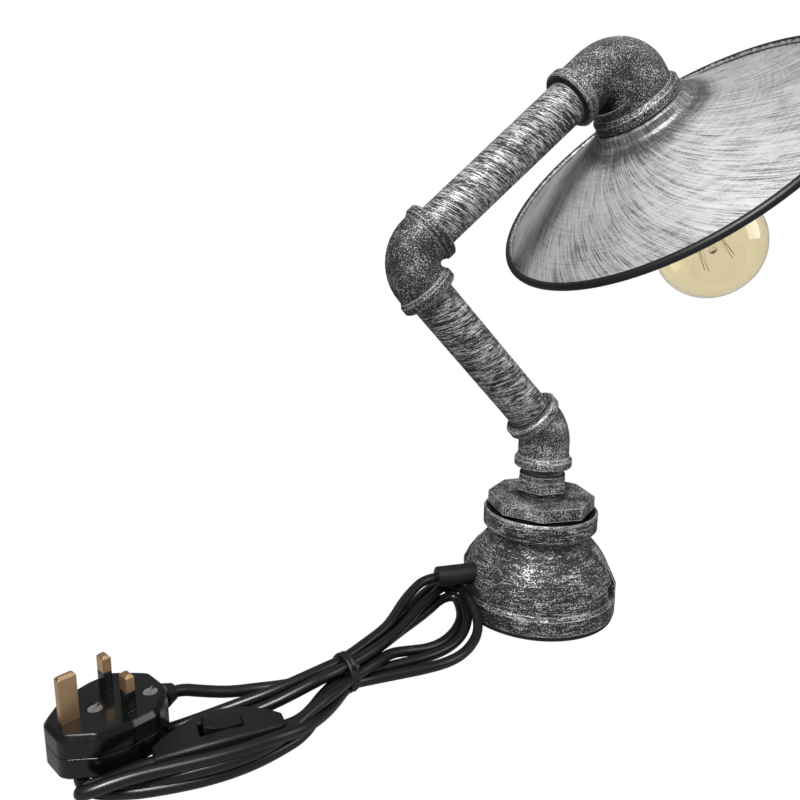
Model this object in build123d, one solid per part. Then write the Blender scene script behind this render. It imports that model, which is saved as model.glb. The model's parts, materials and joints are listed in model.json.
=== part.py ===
from build123d import *
from math import asin, atan2, cos, hypot, pi, radians, sin, tan
import os

# Industrial pipe table lamp, in millimetres.
# Origin: centre of the foot on the table. +Z is up, and the arm lies in the XZ plane.

# ---- driving dimensions -------------------------------------------------------------
# Running and seating clearances, all radial or end gaps
THREAD_GAP = 0.06
TURN_GAP = 0.09
SEAT_GAP = 0.05
FLEX_GAP = 0.3

# Foot: 3 inch by 2 inch reducing socket, wide end down
PAD_THICKNESS = 2.0
FOOT_BAND_STAND = 2.9
FOOT_BAND_TOP = 14.2
SOCKET_WALL = 4.7
SHOULDER_HEIGHT = 23.0
SHOULDER_RADIUS = 48.6
NECK_HEIGHT = 52.5
NECK_RADIUS = 33.2
COLLAR_RADIUS = 37.0
COLLAR_BOTTOM = 56.5
COLLAR_TOP = 68.6
COLLAR_BORE_RADIUS = 29.9
MOUTH_RADIUS = 35.6
MOUTH_DEPTH = 5.0
RIB_WIDTH = 3.2
RIB_STAND = 2.8
RIB_HEADING = 140.0
RIB_RECESS_LENGTH = 7.0
RIB_RECESS_DEPTH = 2.4
BASE_PLATE_THICKNESS = 6.0

# Octagon bush, 2 inch by 3/4 inch
BUSH_ACROSS_FLATS = 63.6
BUSH_HEAD = 7.9
BUSH_GAP = 1.3
BUSH_TURN = 20.0
BUSH_THREAD_LENGTH = 20.0

# 3/4 inch pipe and its fittings
PIPE_RADIUS = 13.45
PIPE_WALL = 2.65
THREAD_RADIUS = 13.0
THREAD_CREST = 0.45
THREAD_PITCH = 1.814
THREAD_DEPTH = 12.0
NIPPLE_ACROSS_FLATS = 29.4
NIPPLE_HEX_BASE = 4.0
NIPPLE_HEX_HEIGHT = 7.0
NIPPLE_COLLAR_RADIUS = 14.6
NIPPLE_COLLAR_HEIGHT = 3.5
NIPPLE_SHOW = 5.0
BEAD_RADIUS = 18.4
BEAD_WIDTH = 6.0
FITTING_RADIUS = 16.3
FITTING_BORE = 11.6

# Arm
LEAN = 42.5
LOWER_CENTRES = 144.8
UPPER_CENTRES = 174.3
HEAD_TURN = 7.13
HEAD_OPENING = 0.44
KINK_LEG_LOWER = 23.2
KINK_LEG_UPPER = 16.8
KINK_BEND = 21.0
KNEE_LEG = 27.1
KNEE_BEND = 17.5

# Head elbow, 1 1/4 inch by 3/4 inch
HEAD_LEG_IN = 36.9
HEAD_LEG_OUT = 34.2
HEAD_BEND = 20.0
OUTLET_RADIUS = 24.0
OUTLET_BEAD_RADIUS = 26.9
OUTLET_BEAD_WIDTH = 6.8
OUTLET_BORE_RADIUS = 19.6

# Shade, spun from sheet; depths are measured along the head axis from the head corner
SHADE_SHEET = 0.9
SHADE_GAP = 0.2
CROWN_RADIUS = 29.6
CROWN_FOOT_RADIUS = 30.7
CROWN_HEIGHT = 6.6
RIM_RADIUS = 118.2
RIM_DEPTH = 73.5
RIM_ROLL_RADIUS = 2.6
RIM_WIRE_RADIUS = 1.4

# Lampholder and bulb
STEM_RADIUS = 5.0
STEM_BORE = 4.0
HOLDER_CAP_RADIUS = 19.5
HOLDER_CAP_HEIGHT = 22.0
HOLDER_SKIRT_RADIUS = 20.4
HOLDER_SKIRT_LENGTH = 31.0
HOLDER_WALL = 2.4
SHELL_BORE_RADIUS = 13.45
SHELL_LENGTH = 22.0
SHELL_SHEET = 0.5
INSERT_DEPTH = 6.0
CONTACT_HEIGHT = 2.35
BULB_RADIUS = 36.2
BULB_OVERALL = 114.1
BULB_WALL = 0.9
CAP_RADIUS = 13.1
CAP_THREAD_ROOT = 12.2
CAP_PITCH = 3.63
CAP_TURNS = 5
CAP_LENGTH = 24.5
FILAMENT_LOOPS = 6
FILAMENT_WIRE = 0.35

# Cord and its fittings
CORD_RADIUS = 3.0
GLAND_RADIUS = 6.6
GLAND_HEIGHT = 26.7
GLAND_REACH = 71.4
GLAND_THREAD_RADIUS = 4.9
GLAND_NUT_ACROSS_FLATS = 14.0
GLAND_NUT_THICKNESS = 3.0

# Switch on the cord
SWITCH_X = -210.8
SWITCH_Y = -102.3
SWITCH_TURN = 9.0
SWITCH_LENGTH = 60.0
SWITCH_WIDTH = 24.0
SWITCH_END_WIDTH = 9.4
SWITCH_HEIGHT = 19.0
SWITCH_END_HEIGHT = 13.2
SWITCH_SPLIT = 8.2
SWITCH_WALL = 1.8
SWITCH_BLOCK = 9.0
ROCKER_LENGTH = 18.0
ROCKER_WIDTH = 8.6
ROCKER_STAND = 2.2
ROCKER_DEPTH = 5.0
ROCKER_TILT = 8.0
ROCKER_GAP = 0.4
ROCKER_PIN_RADIUS = 1.2

# Plug, three flat pins; placed by its earth pin
PLUG_X = -275.3
PLUG_Y = -95.6
PLUG_TURN = 32.0
PLUG_REST = 6.5
PLUG_LENGTH = 52.0
PLUG_WIDTH = 45.0
PLUG_INSET = 8.5
PLUG_CORNER = 7.0
PLUG_COVER_DEPTH = 11.0
PLUG_BASE_DEPTH = 10.5
PLUG_SEAM = 0.3
PLUG_WALL = 2.2
PLUG_FACE = 3.5
PIN_SPACING = 22.2
PIN_LENGTH = 17.7
PIN_WIDTH = 6.35
PIN_THICKNESS = 4.0
EARTH_LENGTH = 22.7
EARTH_WIDTH = 8.0
SLEEVE_LENGTH = 9.5
SLEEVE_WALL = 0.6
FUSE_RADIUS = 3.15
FUSE_LENGTH = 25.4
BOOT_RADIUS = 5.2
BOOT_LENGTH = 7.0

# Cord hank, laid on the table and tied
HANK_HEIGHT = 6.2
HANK_BAND = 9.6
HANK_NEAR_BAND = 8.4
HANK_NEAR_HEIGHT = 12.6
HANK_LOOP_RADIUS = 6.2
TIE_X = -144.3
TIE_Y = -64.8
TIE_HEADING = 20.7
TIE_HEIGHT = 10.9
TIE_THICKNESS = 1.7
TIE_WIDTH = 5.0
TIE_TAIL_TURN = 50.0
BUNDLE_RADIUS = 9.1
BUNDLE_LENGTH = 38.0

# ---- places worked out from the driving dimensions ----------------------------------
FOOT_RADIUS = SHOULDER_RADIUS + FOOT_BAND_STAND
FOOT_BORE_RADIUS = SHOULDER_RADIUS - SOCKET_WALL
BUSH_BOTTOM = COLLAR_TOP + BUSH_GAP
BUSH_TOP = BUSH_BOTTOM + BUSH_HEAD
HEX_BOTTOM = BUSH_TOP + NIPPLE_HEX_BASE
HEX_TOP = HEX_BOTTOM + NIPPLE_HEX_HEIGHT
SWIVEL_HEIGHT = HEX_TOP + NIPPLE_COLLAR_HEIGHT + NIPPLE_SHOW
PIPE_BORE = PIPE_RADIUS - PIPE_WALL

UP = Vector(0, 0, 1)
LOWER_DIR = Vector(-sin(radians(LEAN)), 0, cos(radians(LEAN)))
UPPER_DIR = Vector(cos(radians(LEAN)), 0, sin(radians(LEAN)))
KINK = Vector(0, 0, SWIVEL_HEIGHT + KINK_LEG_LOWER)
KNEE = KINK + LOWER_DIR * LOWER_CENTRES
HEAD = KNEE + UPPER_DIR * UPPER_CENTRES
HEAD_DIR = Vector(sin(radians(LEAN)), 0, -cos(radians(LEAN))).rotate(
    Axis((0, 0, 0), UPPER_DIR), HEAD_TURN)
HEAD_DIR = HEAD_DIR.rotate(Axis((0, 0, 0), UPPER_DIR.cross(HEAD_DIR)), HEAD_OPENING)
SIDE = Vector(0, 1, 0)

CROWN_TOP = HEAD_LEG_OUT + SHADE_GAP
CROWN_FOOT = CROWN_TOP + CROWN_HEIGHT
HOLDER_TOP = CROWN_TOP + SHADE_SHEET + SEAT_GAP
HOLDER_JOINT = HOLDER_TOP + HOLDER_CAP_HEIGHT
HOLDER_END = HOLDER_JOINT + HOLDER_SKIRT_LENGTH
BULB_TIP = HOLDER_JOINT + INSERT_DEPTH + CONTACT_HEIGHT
BULB_CENTRE = BULB_TIP + BULB_OVERALL - BULB_RADIUS
PLUG_SPLIT = PLUG_REST + PLUG_COVER_DEPTH
PLUG_TOP = PLUG_SPLIT + PLUG_SEAM + PLUG_BASE_DEPTH


# ---- helpers ------------------------------------------------------------------------
def turned(profile):
    """Solid of revolution about +Z from corners given as (radius, height)."""
    corners = [(radius, 0, height) for radius, height in profile]
    return revolve(make_face(Polyline(*corners, close=True)), Axis.Z)


def tube(outer, inner, low, high):
    """Round tube along +Z between two heights."""
    return turned([(inner, low), (outer, low), (outer, high), (inner, high)])


def rod(radius, low, high):
    """Round bar along +Z between two heights."""
    return Pos(0, 0, low) * Cylinder(radius, high - low, align=(Align.CENTER, Align.CENTER, Align.MIN))


def along(origin, direction, shape, side=SIDE):
    """Stand a shape made about +Z on a line through a point."""
    return Plane(origin=origin, x_dir=side, z_dir=direction).location * shape


def on_head(shape):
    """Place a shape made about +Z, with depth as height, on the head axis."""
    across = HEAD_DIR.cross(UPPER_DIR)
    return along(HEAD, HEAD_DIR, shape, across)


def swept_round(radius, path):
    """Round bar along a path."""
    start = Plane(origin=path @ 0, z_dir=path % 0)
    return sweep(start * Circle(radius), path=path)


def bent_path(corner, dir_in, dir_out, leg_in, leg_out, bend):
    """Straight, arc, straight round one corner."""
    return FilletPolyline(corner - dir_in * leg_in, corner, corner + dir_out * leg_out, radius=bend)


def cord_path(points):
    """Tangent runs and arcs through a route's corners, each arc as large as its runs allow."""
    route = [Vector(*point) for point in points]
    radii = []
    for before, corner, after in zip(route, route[1:], route[2:]):
        turn = radians((corner - before).get_angle(after - corner))
        shorter = min((corner - before).length, (after - corner).length)
        radii.append(0.45 * shorter / tan(turn / 2))
    return FilletPolyline(*route, radius=radii), radii


def cord_tube(name, points):
    """Cord solid along a route, with its radii and volume printed."""
    path, radii = cord_path(points)
    solid = swept_round(CORD_RADIUS, path)
    expected = pi * CORD_RADIUS ** 2 * path.length
    print(f"{name}: length {path.length:.0f}, radii {[round(r, 1) for r in radii]}, "
          f"volume {solid.volume:.0f} against {expected:.0f}")
    return solid


def bead(face, width, radius, inner):
    """Rounded band at a fitting's mouth, along +Z, its outer face at the given height."""
    soft = 0.9
    return turned([
        (inner, face - width - 1.6), (inner, face), (radius - soft, face),
        (radius, face - soft), (radius, face - width + soft), (radius - soft, face - width),
        (inner + 1.6, face - width - 1.2)])


def thread_rings(low, count, core=THREAD_RADIUS):
    """Ring ridges that stand for a pipe thread left in view."""
    ridges = [
        turned([(core - 1, low + index * THREAD_PITCH), (core, low + index * THREAD_PITCH),
                (core + THREAD_CREST, low + (index + 0.5) * THREAD_PITCH),
                (core, low + (index + 1) * THREAD_PITCH), (core - 1, low + (index + 1) * THREAD_PITCH)])
        for index in range(count)]
    return ridges


def polygon_prism(sides, across_flats, height, turn):
    """Upright prism with a vertex at the given heading, from height 0 up."""
    circumradius = across_flats / 2 / cos(pi / sides)
    return extrude(Rot(0, 0, turn) * RegularPolygon(circumradius, sides), height)


def round_off(shape, radius, direction=Axis.Z):
    """Turned chamfer that takes the corners off the top of a prism."""
    top = shape.bounding_box().max.Z
    reach = shape.bounding_box().max.X * 2
    knife = turned([(radius - 1.2, top + 0.01), (reach, top + 0.01), (reach, top - 3.0), (radius, top)])
    return shape - knife


# ---- foot ---------------------------------------------------------------------------
def socket_outline():
    """Outer profile of the reducing socket, foot band to collar, as (radius, height)."""
    return [
        (FOOT_RADIUS - 1.0, PAD_THICKNESS), (FOOT_RADIUS, PAD_THICKNESS + 1.0),
        (FOOT_RADIUS, FOOT_BAND_TOP - 1.2), (FOOT_RADIUS - 1.0, FOOT_BAND_TOP),
        (SHOULDER_RADIUS + 1.0, FOOT_BAND_TOP + 0.8), (SHOULDER_RADIUS + 0.6, SHOULDER_HEIGHT - 4.0),
        (SHOULDER_RADIUS, SHOULDER_HEIGHT)]


def bell(out, down):
    """Point by the bell, as shares of the way out and down from the neck to the shoulder."""
    return (NECK_RADIUS + (SHOULDER_RADIUS - NECK_RADIUS) * out, 0,
            NECK_HEIGHT + (SHOULDER_HEIGHT - NECK_HEIGHT) * down)


def bell_curve():
    """Outer edges of the bell, from the shoulder up to the neck."""
    swell = ThreePointArc(bell(1, 1), bell(0.76, 0.64), bell(0.22, 0.25))
    flare = Spline(bell(0.22, 0.25), bell(0, 0.08), tangents=[swell % 1, (0, 0, 1)])
    return [swell, flare, Line(bell(0, 0.08), bell(0, 0))]


def make_base_socket():
    """Bell-shaped reducing socket with its bands, ribs, mouth and cord hole."""
    below = [(radius, 0, height) for radius, height in socket_outline()]
    above = [
        (NECK_RADIUS, 0, NECK_HEIGHT), (NECK_RADIUS + 0.3, 0, COLLAR_BOTTOM - 1.2),
        (COLLAR_RADIUS - 1.0, 0, COLLAR_BOTTOM), (COLLAR_RADIUS, 0, COLLAR_BOTTOM + 1.2),
        (COLLAR_RADIUS, 0, COLLAR_TOP - 1.0), (COLLAR_RADIUS - 0.8, 0, COLLAR_TOP),
        (MOUTH_RADIUS, 0, COLLAR_TOP), (COLLAR_BORE_RADIUS, 0, COLLAR_TOP - MOUTH_DEPTH),
        (COLLAR_BORE_RADIUS, 0, NECK_HEIGHT - 5.0), (FOOT_BORE_RADIUS, 0, SHOULDER_HEIGHT + 2.0),
        (FOOT_BORE_RADIUS, 0, PAD_THICKNESS), (FOOT_RADIUS - 1.0, 0, PAD_THICKNESS)]
    body = revolve(make_face([Polyline(*below), *bell_curve(), Polyline(*above)]), Axis.Z)
    for heading in (RIB_HEADING, RIB_HEADING + 180):
        body += Rot(0, 0, heading) * socket_rib()
        body -= Rot(0, 0, heading) * rib_recess()
    hole = along((-GLAND_REACH, 0, GLAND_HEIGHT), Vector(1, 0, 0),
                 rod(GLAND_THREAD_RADIUS + THREAD_GAP, 0, GLAND_REACH - COLLAR_BORE_RADIUS))
    return body - hole


def socket_rib():
    """Wrench rib that grows out of the bell on its +X side and ends on the foot band."""
    outer = SHOULDER_RADIUS + RIB_STAND
    inner = FOOT_BORE_RADIUS + SOCKET_WALL / 2
    outline = Polyline(
        bell(-0.1, 0.1), bell(0.05, 0.1), bell(0.32, 0.27), bell(0.62, 0.44), bell(0.89, 0.64),
        (outer, 0, SHOULDER_HEIGHT + 1.5), (outer, 0, FOOT_BAND_TOP - 1.2), (inner, 0, FOOT_BAND_TOP - 1.2),
        (inner, 0, SHOULDER_HEIGHT), close=True)
    return extrude(make_face(outline), RIB_WIDTH / 2, both=True)


def rib_recess():
    """Square recess in the wall beside a rib, above the foot band."""
    block = Box(2 * SOCKET_WALL, RIB_RECESS_LENGTH, SHOULDER_HEIGHT - FOOT_BAND_TOP,
                align=(Align.MIN, Align.MAX, Align.MIN))
    return Pos(SHOULDER_RADIUS - RIB_RECESS_DEPTH, -RIB_WIDTH / 2, FOOT_BAND_TOP + 1.0) * block


def make_foot_pad():
    """Thin rubber pad under the socket."""
    return rod(FOOT_RADIUS - 0.8, 0, PAD_THICKNESS)


def make_base_plate():
    """Steel plate inside the foot, on the pad, with a bolt hole at its centre."""
    return tube(FOOT_BORE_RADIUS - THREAD_GAP, 4.0, PAD_THICKNESS, PAD_THICKNESS + BASE_PLATE_THICKNESS)


def make_octagon_bush():
    """Octagon-headed reducing bush screwed into the collar."""
    head = round_off(polygon_prism(8, BUSH_ACROSS_FLATS, BUSH_HEAD, BUSH_TURN), BUSH_ACROSS_FLATS / 2 + 1.0)
    body = Pos(0, 0, BUSH_BOTTOM) * head
    body += rod(COLLAR_BORE_RADIUS - THREAD_GAP, BUSH_BOTTOM - BUSH_THREAD_LENGTH, BUSH_BOTTOM)
    body -= rod(THREAD_RADIUS + THREAD_GAP, BUSH_TOP - THREAD_DEPTH - 4.0, BUSH_TOP + 1)
    body -= rod(THREAD_RADIUS - 2.0, BUSH_BOTTOM - BUSH_THREAD_LENGTH - 1, BUSH_TOP)
    return body


def make_hex_nipple():
    """Hexagon nipple between the bush and the first elbow, threaded at both ends."""
    hexagon = round_off(polygon_prism(6, NIPPLE_ACROSS_FLATS, NIPPLE_HEX_HEIGHT, 0), NIPPLE_ACROSS_FLATS / 2 + 0.6)
    top = SWIVEL_HEIGHT + THREAD_DEPTH
    body = Pos(0, 0, HEX_BOTTOM) * hexagon
    body += rod(NIPPLE_COLLAR_RADIUS - 0.6, BUSH_TOP + SEAT_GAP, HEX_BOTTOM)
    body += rod(NIPPLE_COLLAR_RADIUS, HEX_TOP, HEX_TOP + NIPPLE_COLLAR_HEIGHT)
    body += rod(THREAD_RADIUS, BUSH_TOP - THREAD_DEPTH, top)
    in_view = int(NIPPLE_SHOW / THREAD_PITCH)
    for ridge in thread_rings(HEX_TOP + NIPPLE_COLLAR_HEIGHT + 0.3, in_view):
        body += ridge
    return body - rod(THREAD_RADIUS - 3.4, BUSH_TOP - THREAD_DEPTH - 1, top + 1)


# ---- arm ----------------------------------------------------------------------------
def make_elbow(corner, dir_in, dir_out, leg_in, leg_out, bend, gap_in, gap_out):
    """Malleable iron elbow with banded mouths, from the inlet to the outlet."""
    path = bent_path(corner, dir_in, dir_out, leg_in, leg_out, bend)
    body = swept_round(FITTING_RADIUS, path)
    inlet = corner - dir_in * leg_in
    outlet = corner + dir_out * leg_out
    mouth = bead(0, BEAD_WIDTH, BEAD_RADIUS, FITTING_RADIUS - 1.0)
    body += along(inlet, dir_in * -1, mouth)
    body += along(outlet, dir_out, mouth)
    body -= swept_round(FITTING_BORE, path)
    depth = THREAD_DEPTH + 0.4
    body -= along(inlet, dir_in, rod(THREAD_RADIUS + gap_in, -0.5, depth))
    body -= along(outlet, dir_out * -1, rod(THREAD_RADIUS + gap_out, -0.5, depth))
    return body


def make_pipe(start, direction, length):
    """Pipe with reduced, threaded ends that enter its two fittings."""
    body = rod(PIPE_RADIUS, THREAD_DEPTH + 1.2, length - THREAD_DEPTH - 1.2)
    body += rod(THREAD_RADIUS, 0, length)
    return along(start, direction, body - rod(PIPE_BORE, -1, length + 1))


def make_head_elbow():
    """Reducing elbow that swells from the pipe to the wide outlet."""
    centre = HEAD - UPPER_DIR * HEAD_BEND + HEAD_DIR * HEAD_BEND
    across = UPPER_DIR.cross(HEAD_DIR)

    def station(angle, radius):
        """Round section square to the bend at an angle from the inlet."""
        heading = UPPER_DIR * cos(angle) + HEAD_DIR * sin(angle)
        place = centre + (UPPER_DIR * sin(angle) - HEAD_DIR * cos(angle)) * HEAD_BEND
        return Plane(origin=place, x_dir=across, z_dir=heading) * Circle(radius)

    def bend(small, large):
        """Swelling bend lofted through round sections."""
        steps = 4
        sections = [station(pi / 2 * step / steps, small + (large - small) * sin(pi / 2 * step / steps) ** 1.5)
                    for step in range(steps + 1)]
        return loft(sections)

    inlet = HEAD - UPPER_DIR * HEAD_LEG_IN
    outlet = HEAD + HEAD_DIR * HEAD_LEG_OUT
    body = bend(FITTING_RADIUS, OUTLET_RADIUS)
    body += along(inlet, UPPER_DIR, rod(FITTING_RADIUS, 0, HEAD_LEG_IN - HEAD_BEND), across)
    body += along(outlet, HEAD_DIR * -1, rod(OUTLET_RADIUS, 0, HEAD_LEG_OUT - HEAD_BEND), across)
    body += along(inlet, UPPER_DIR * -1, bead(0, BEAD_WIDTH, BEAD_RADIUS, FITTING_RADIUS - 1.0), across)
    body += along(outlet, HEAD_DIR, bead(0, OUTLET_BEAD_WIDTH, OUTLET_BEAD_RADIUS, OUTLET_RADIUS - 1.0), across)
    body -= bend(FITTING_BORE, OUTLET_BORE_RADIUS - 1.5)
    body -= along(inlet, UPPER_DIR, rod(FITTING_BORE, -1, HEAD_LEG_IN - HEAD_BEND + 0.01), across)
    body -= along(inlet, UPPER_DIR, rod(THREAD_RADIUS + TURN_GAP, -1, THREAD_DEPTH + 0.4), across)
    body -= along(outlet, HEAD_DIR * -1, rod(OUTLET_BORE_RADIUS, -1, HEAD_LEG_OUT - HEAD_BEND + 0.01), across)
    return body


def make_outlet_bush():
    """Round bush in the elbow's outlet that carries the lampholder stem."""
    body = tube(OUTLET_BORE_RADIUS - THREAD_GAP, STEM_RADIUS + THREAD_GAP, HEAD_BEND, HEAD_LEG_OUT - SEAT_GAP)
    return on_head(body)


# ---- head ---------------------------------------------------------------------------
def make_shade():
    """Spun shade with a flat crown, a short neck, a shallow cone and a rim curled up over a wire."""
    wall = SHADE_SHEET
    hole = STEM_RADIUS + THREAD_GAP
    roll_r = RIM_RADIUS - RIM_ROLL_RADIUS
    foot_r = CROWN_FOOT_RADIUS + 1.8
    reach = hypot(roll_r - foot_r, RIM_DEPTH - CROWN_FOOT)
    slope = atan2(RIM_DEPTH - CROWN_FOOT, roll_r - foot_r) + asin((RIM_ROLL_RADIUS - wall) / reach)
    across = (-sin(slope), cos(slope))

    def below(radius, depth, distance):
        """Point at a distance square under the cone's line."""
        return (radius + across[0] * distance, 0, depth + across[1] * distance)

    sheet = make_face(Polyline(
        (hole, 0, CROWN_TOP), (CROWN_RADIUS - 1.2, 0, CROWN_TOP), (CROWN_RADIUS, 0, CROWN_TOP + 1.0),
        (CROWN_FOOT_RADIUS, 0, CROWN_FOOT - 1.6), (foot_r, 0, CROWN_FOOT),
        below(roll_r, RIM_DEPTH, RIM_ROLL_RADIUS - wall), below(roll_r, RIM_DEPTH, RIM_ROLL_RADIUS),
        below(foot_r, CROWN_FOOT, wall), (CROWN_FOOT_RADIUS - wall, 0, CROWN_FOOT - 1.0),
        (CROWN_RADIUS - wall, 0, CROWN_TOP + wall + 0.8), (CROWN_RADIUS - wall - 1.0, 0, CROWN_TOP + wall),
        (hole, 0, CROWN_TOP + wall), close=True))
    place = Pos(roll_r, 0, RIM_DEPTH) * Rot(90, 0, 0)
    curl = place * (Circle(RIM_ROLL_RADIUS) - Circle(RIM_ROLL_RADIUS - wall))
    tuck = place * Rot(0, 0, 160 + slope * 180 / pi)
    slit = tuck * Pos(RIM_ROLL_RADIUS - wall / 2, 0) * Rectangle(wall * 2, 0.8)
    return on_head(revolve(sheet, Axis.Z) + revolve(curl - slit, Axis.Z))


def make_rim_wire():
    """Wire ring inside the rim's curl."""
    ring = Pos(0, 0, RIM_DEPTH) * Torus(RIM_RADIUS - RIM_ROLL_RADIUS, RIM_WIRE_RADIUS)
    return on_head(ring)


def make_stem():
    """Hollow threaded stem that clamps the shade between the bush and the lampholder."""
    return on_head(tube(STEM_RADIUS, STEM_BORE, HEAD_LEG_OUT - 8.0, HOLDER_TOP + 10.0))


def make_stem_nut():
    """Hexagon nut on the stem, inside the lampholder cap."""
    nut = polygon_prism(6, 3.1 * STEM_RADIUS, 3.0, 0) - rod(STEM_RADIUS + THREAD_GAP, -1, 4)
    return on_head(Pos(0, 0, HOLDER_TOP + 6.0 + SEAT_GAP) * nut)


def make_holder_cap():
    """Cup-shaped upper half of the lampholder, threaded to the stem."""
    wall = HOLDER_WALL
    body = turned([
        (STEM_RADIUS + THREAD_GAP, HOLDER_TOP), (HOLDER_CAP_RADIUS - 5.0, HOLDER_TOP),
        (HOLDER_CAP_RADIUS - 1.4, HOLDER_TOP + 2.0), (HOLDER_CAP_RADIUS, HOLDER_TOP + 5.6),
        (HOLDER_CAP_RADIUS, HOLDER_JOINT - SEAT_GAP), (HOLDER_CAP_RADIUS - wall, HOLDER_JOINT - SEAT_GAP),
        (HOLDER_CAP_RADIUS - wall, HOLDER_TOP + 6.0), (STEM_RADIUS + THREAD_GAP, HOLDER_TOP + 6.0)])
    return on_head(body)


def make_holder_body():
    """Skirted lower half of the lampholder, with two ring ridges."""
    inner = SHELL_BORE_RADIUS + SHELL_SHEET + THREAD_GAP
    seat = HOLDER_JOINT + INSERT_DEPTH
    profile = [(HOLDER_CAP_RADIUS - HOLDER_WALL, HOLDER_JOINT), (HOLDER_SKIRT_RADIUS, HOLDER_JOINT)]
    for ridge in range(2):
        low = HOLDER_JOINT + 8.0 + ridge * 5.0
        profile += [(HOLDER_SKIRT_RADIUS, low), (HOLDER_SKIRT_RADIUS + 1.3, low + 0.8),
                    (HOLDER_SKIRT_RADIUS + 1.3, low + 2.2), (HOLDER_SKIRT_RADIUS, low + 3.0)]
    profile += [(HOLDER_SKIRT_RADIUS, HOLDER_END - 3.0), (HOLDER_SKIRT_RADIUS - 2.0, HOLDER_END),
                (inner, HOLDER_END), (inner, seat), (HOLDER_CAP_RADIUS - HOLDER_WALL, seat)]
    return on_head(turned(profile))


def make_holder_insert():
    """Ceramic disc that carries the contacts, inside the lampholder."""
    low = HOLDER_JOINT + SEAT_GAP
    disc = tube(HOLDER_CAP_RADIUS - HOLDER_WALL - THREAD_GAP, STEM_BORE, low, HOLDER_JOINT + INSERT_DEPTH - SEAT_GAP)
    return on_head(disc)


def make_screw_shell():
    """Metal screw shell that takes the bulb's cap."""
    low = HOLDER_JOINT + INSERT_DEPTH + SEAT_GAP
    return on_head(tube(SHELL_BORE_RADIUS + SHELL_SHEET, SHELL_BORE_RADIUS, low, low + SHELL_LENGTH))


def make_centre_contact():
    """Spring strip under the bulb's tip."""
    low = HOLDER_JOINT + INSERT_DEPTH
    strip = Pos(0, 0, low) * Box(16.0, 4.0, 0.6, align=(Align.CENTER, Align.CENTER, Align.MIN))
    step = Box(5.0, 4.0, BULB_TIP - SEAT_GAP - low, align=(Align.CENTER, Align.CENTER, Align.MIN))
    return on_head(strip + Pos(0, 0, low) * step)


def make_bulb_tip():
    """Solder contact at the end of the bulb's cap."""
    return on_head(turned([(0, BULB_TIP), (3.2, BULB_TIP), (4.6, BULB_TIP + 1.2), (4.6, BULB_TIP + 2.0),
                           (0, BULB_TIP + 2.0)]))


def make_cap_insulator():
    """Black glass ring between the tip and the cap's shell."""
    low = BULB_TIP + 2.0 + SEAT_GAP
    return on_head(turned([(0, low), (5.2, low), (9.6, low + 3.2), (0, low + 3.2)]))


def make_bulb_cap():
    """Screw cap of the bulb with rounded thread ridges."""
    low = BULB_TIP + 5.2 + 2 * SEAT_GAP
    profile = [(0, low), (10.0, low), (CAP_THREAD_ROOT, low + 1.2)]
    for turn in range(CAP_TURNS):
        base = low + 1.6 + turn * CAP_PITCH
        profile += [(CAP_THREAD_ROOT, base), (CAP_RADIUS - 0.2, base + 0.9), (CAP_RADIUS, base + 1.5),
                    (CAP_RADIUS - 0.2, base + 2.1), (CAP_THREAD_ROOT, base + 3.0)]
    top = BULB_TIP + CAP_LENGTH
    inner = CAP_THREAD_ROOT - 0.5
    profile += [(CAP_THREAD_ROOT, top - 2.0), (CAP_RADIUS, top), (CAP_RADIUS - 0.5, top), (inner, top - 1.6),
                (inner, low + 1.4), (0, low + 1.4)]
    return on_head(turned(profile))


def glass_face(radius, neck, base, foot):
    """Half section of a globe on a neck, for revolving."""
    join_r = radius * 0.66
    join_t = BULB_CENTRE - (radius ** 2 - join_r ** 2) ** 0.5
    flare = base + (join_t - base) * 0.42
    edges = [
        Line((0, 0, foot), (neck, 0, foot)), Line((neck, 0, foot), (neck, 0, base)),
        Spline((neck, 0, base), (neck + 3.0, 0, flare), (join_r, 0, join_t),
               tangents=[(0, 0, 1), (BULB_CENTRE - join_t, 0, join_r)]),
        ThreePointArc((join_r, 0, join_t), (radius, 0, BULB_CENTRE), (0, 0, BULB_CENTRE + radius)),
        Line((0, 0, BULB_CENTRE + radius), (0, 0, foot))]
    return make_face(edges)


def make_bulb_glass():
    """Blown globe with its neck."""
    neck = CAP_THREAD_ROOT - 0.5 - SEAT_GAP
    foot = BULB_TIP + 9.0
    base = BULB_TIP + CAP_LENGTH
    outer = revolve(glass_face(BULB_RADIUS, neck, base, foot), Axis.Z)
    inner = revolve(glass_face(BULB_RADIUS - BULB_WALL, neck - BULB_WALL, base, foot - 1), Axis.Z)
    return on_head(outer - inner)


def make_bulb_stem():
    """Glass stem inside the bulb with its flare, rod and button."""
    flare = CAP_THREAD_ROOT - 0.5 - SEAT_GAP - BULB_WALL - SEAT_GAP
    foot = BULB_TIP + 0.45 * CAP_LENGTH
    pinch = BULB_TIP + 1.5 * CAP_LENGTH
    button = BULB_CENTRE + 0.08 * BULB_RADIUS
    return on_head(turned([
        (0, foot + 3.0), (flare - 1.0, foot), (flare, foot), (4.2, foot + 14.0), (3.4, pinch),
        (1.5, pinch + 4.0), (1.5, button), (2.6, button + 1.4), (2.6, button + 3.4), (0, button + 4.4)]))


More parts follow.
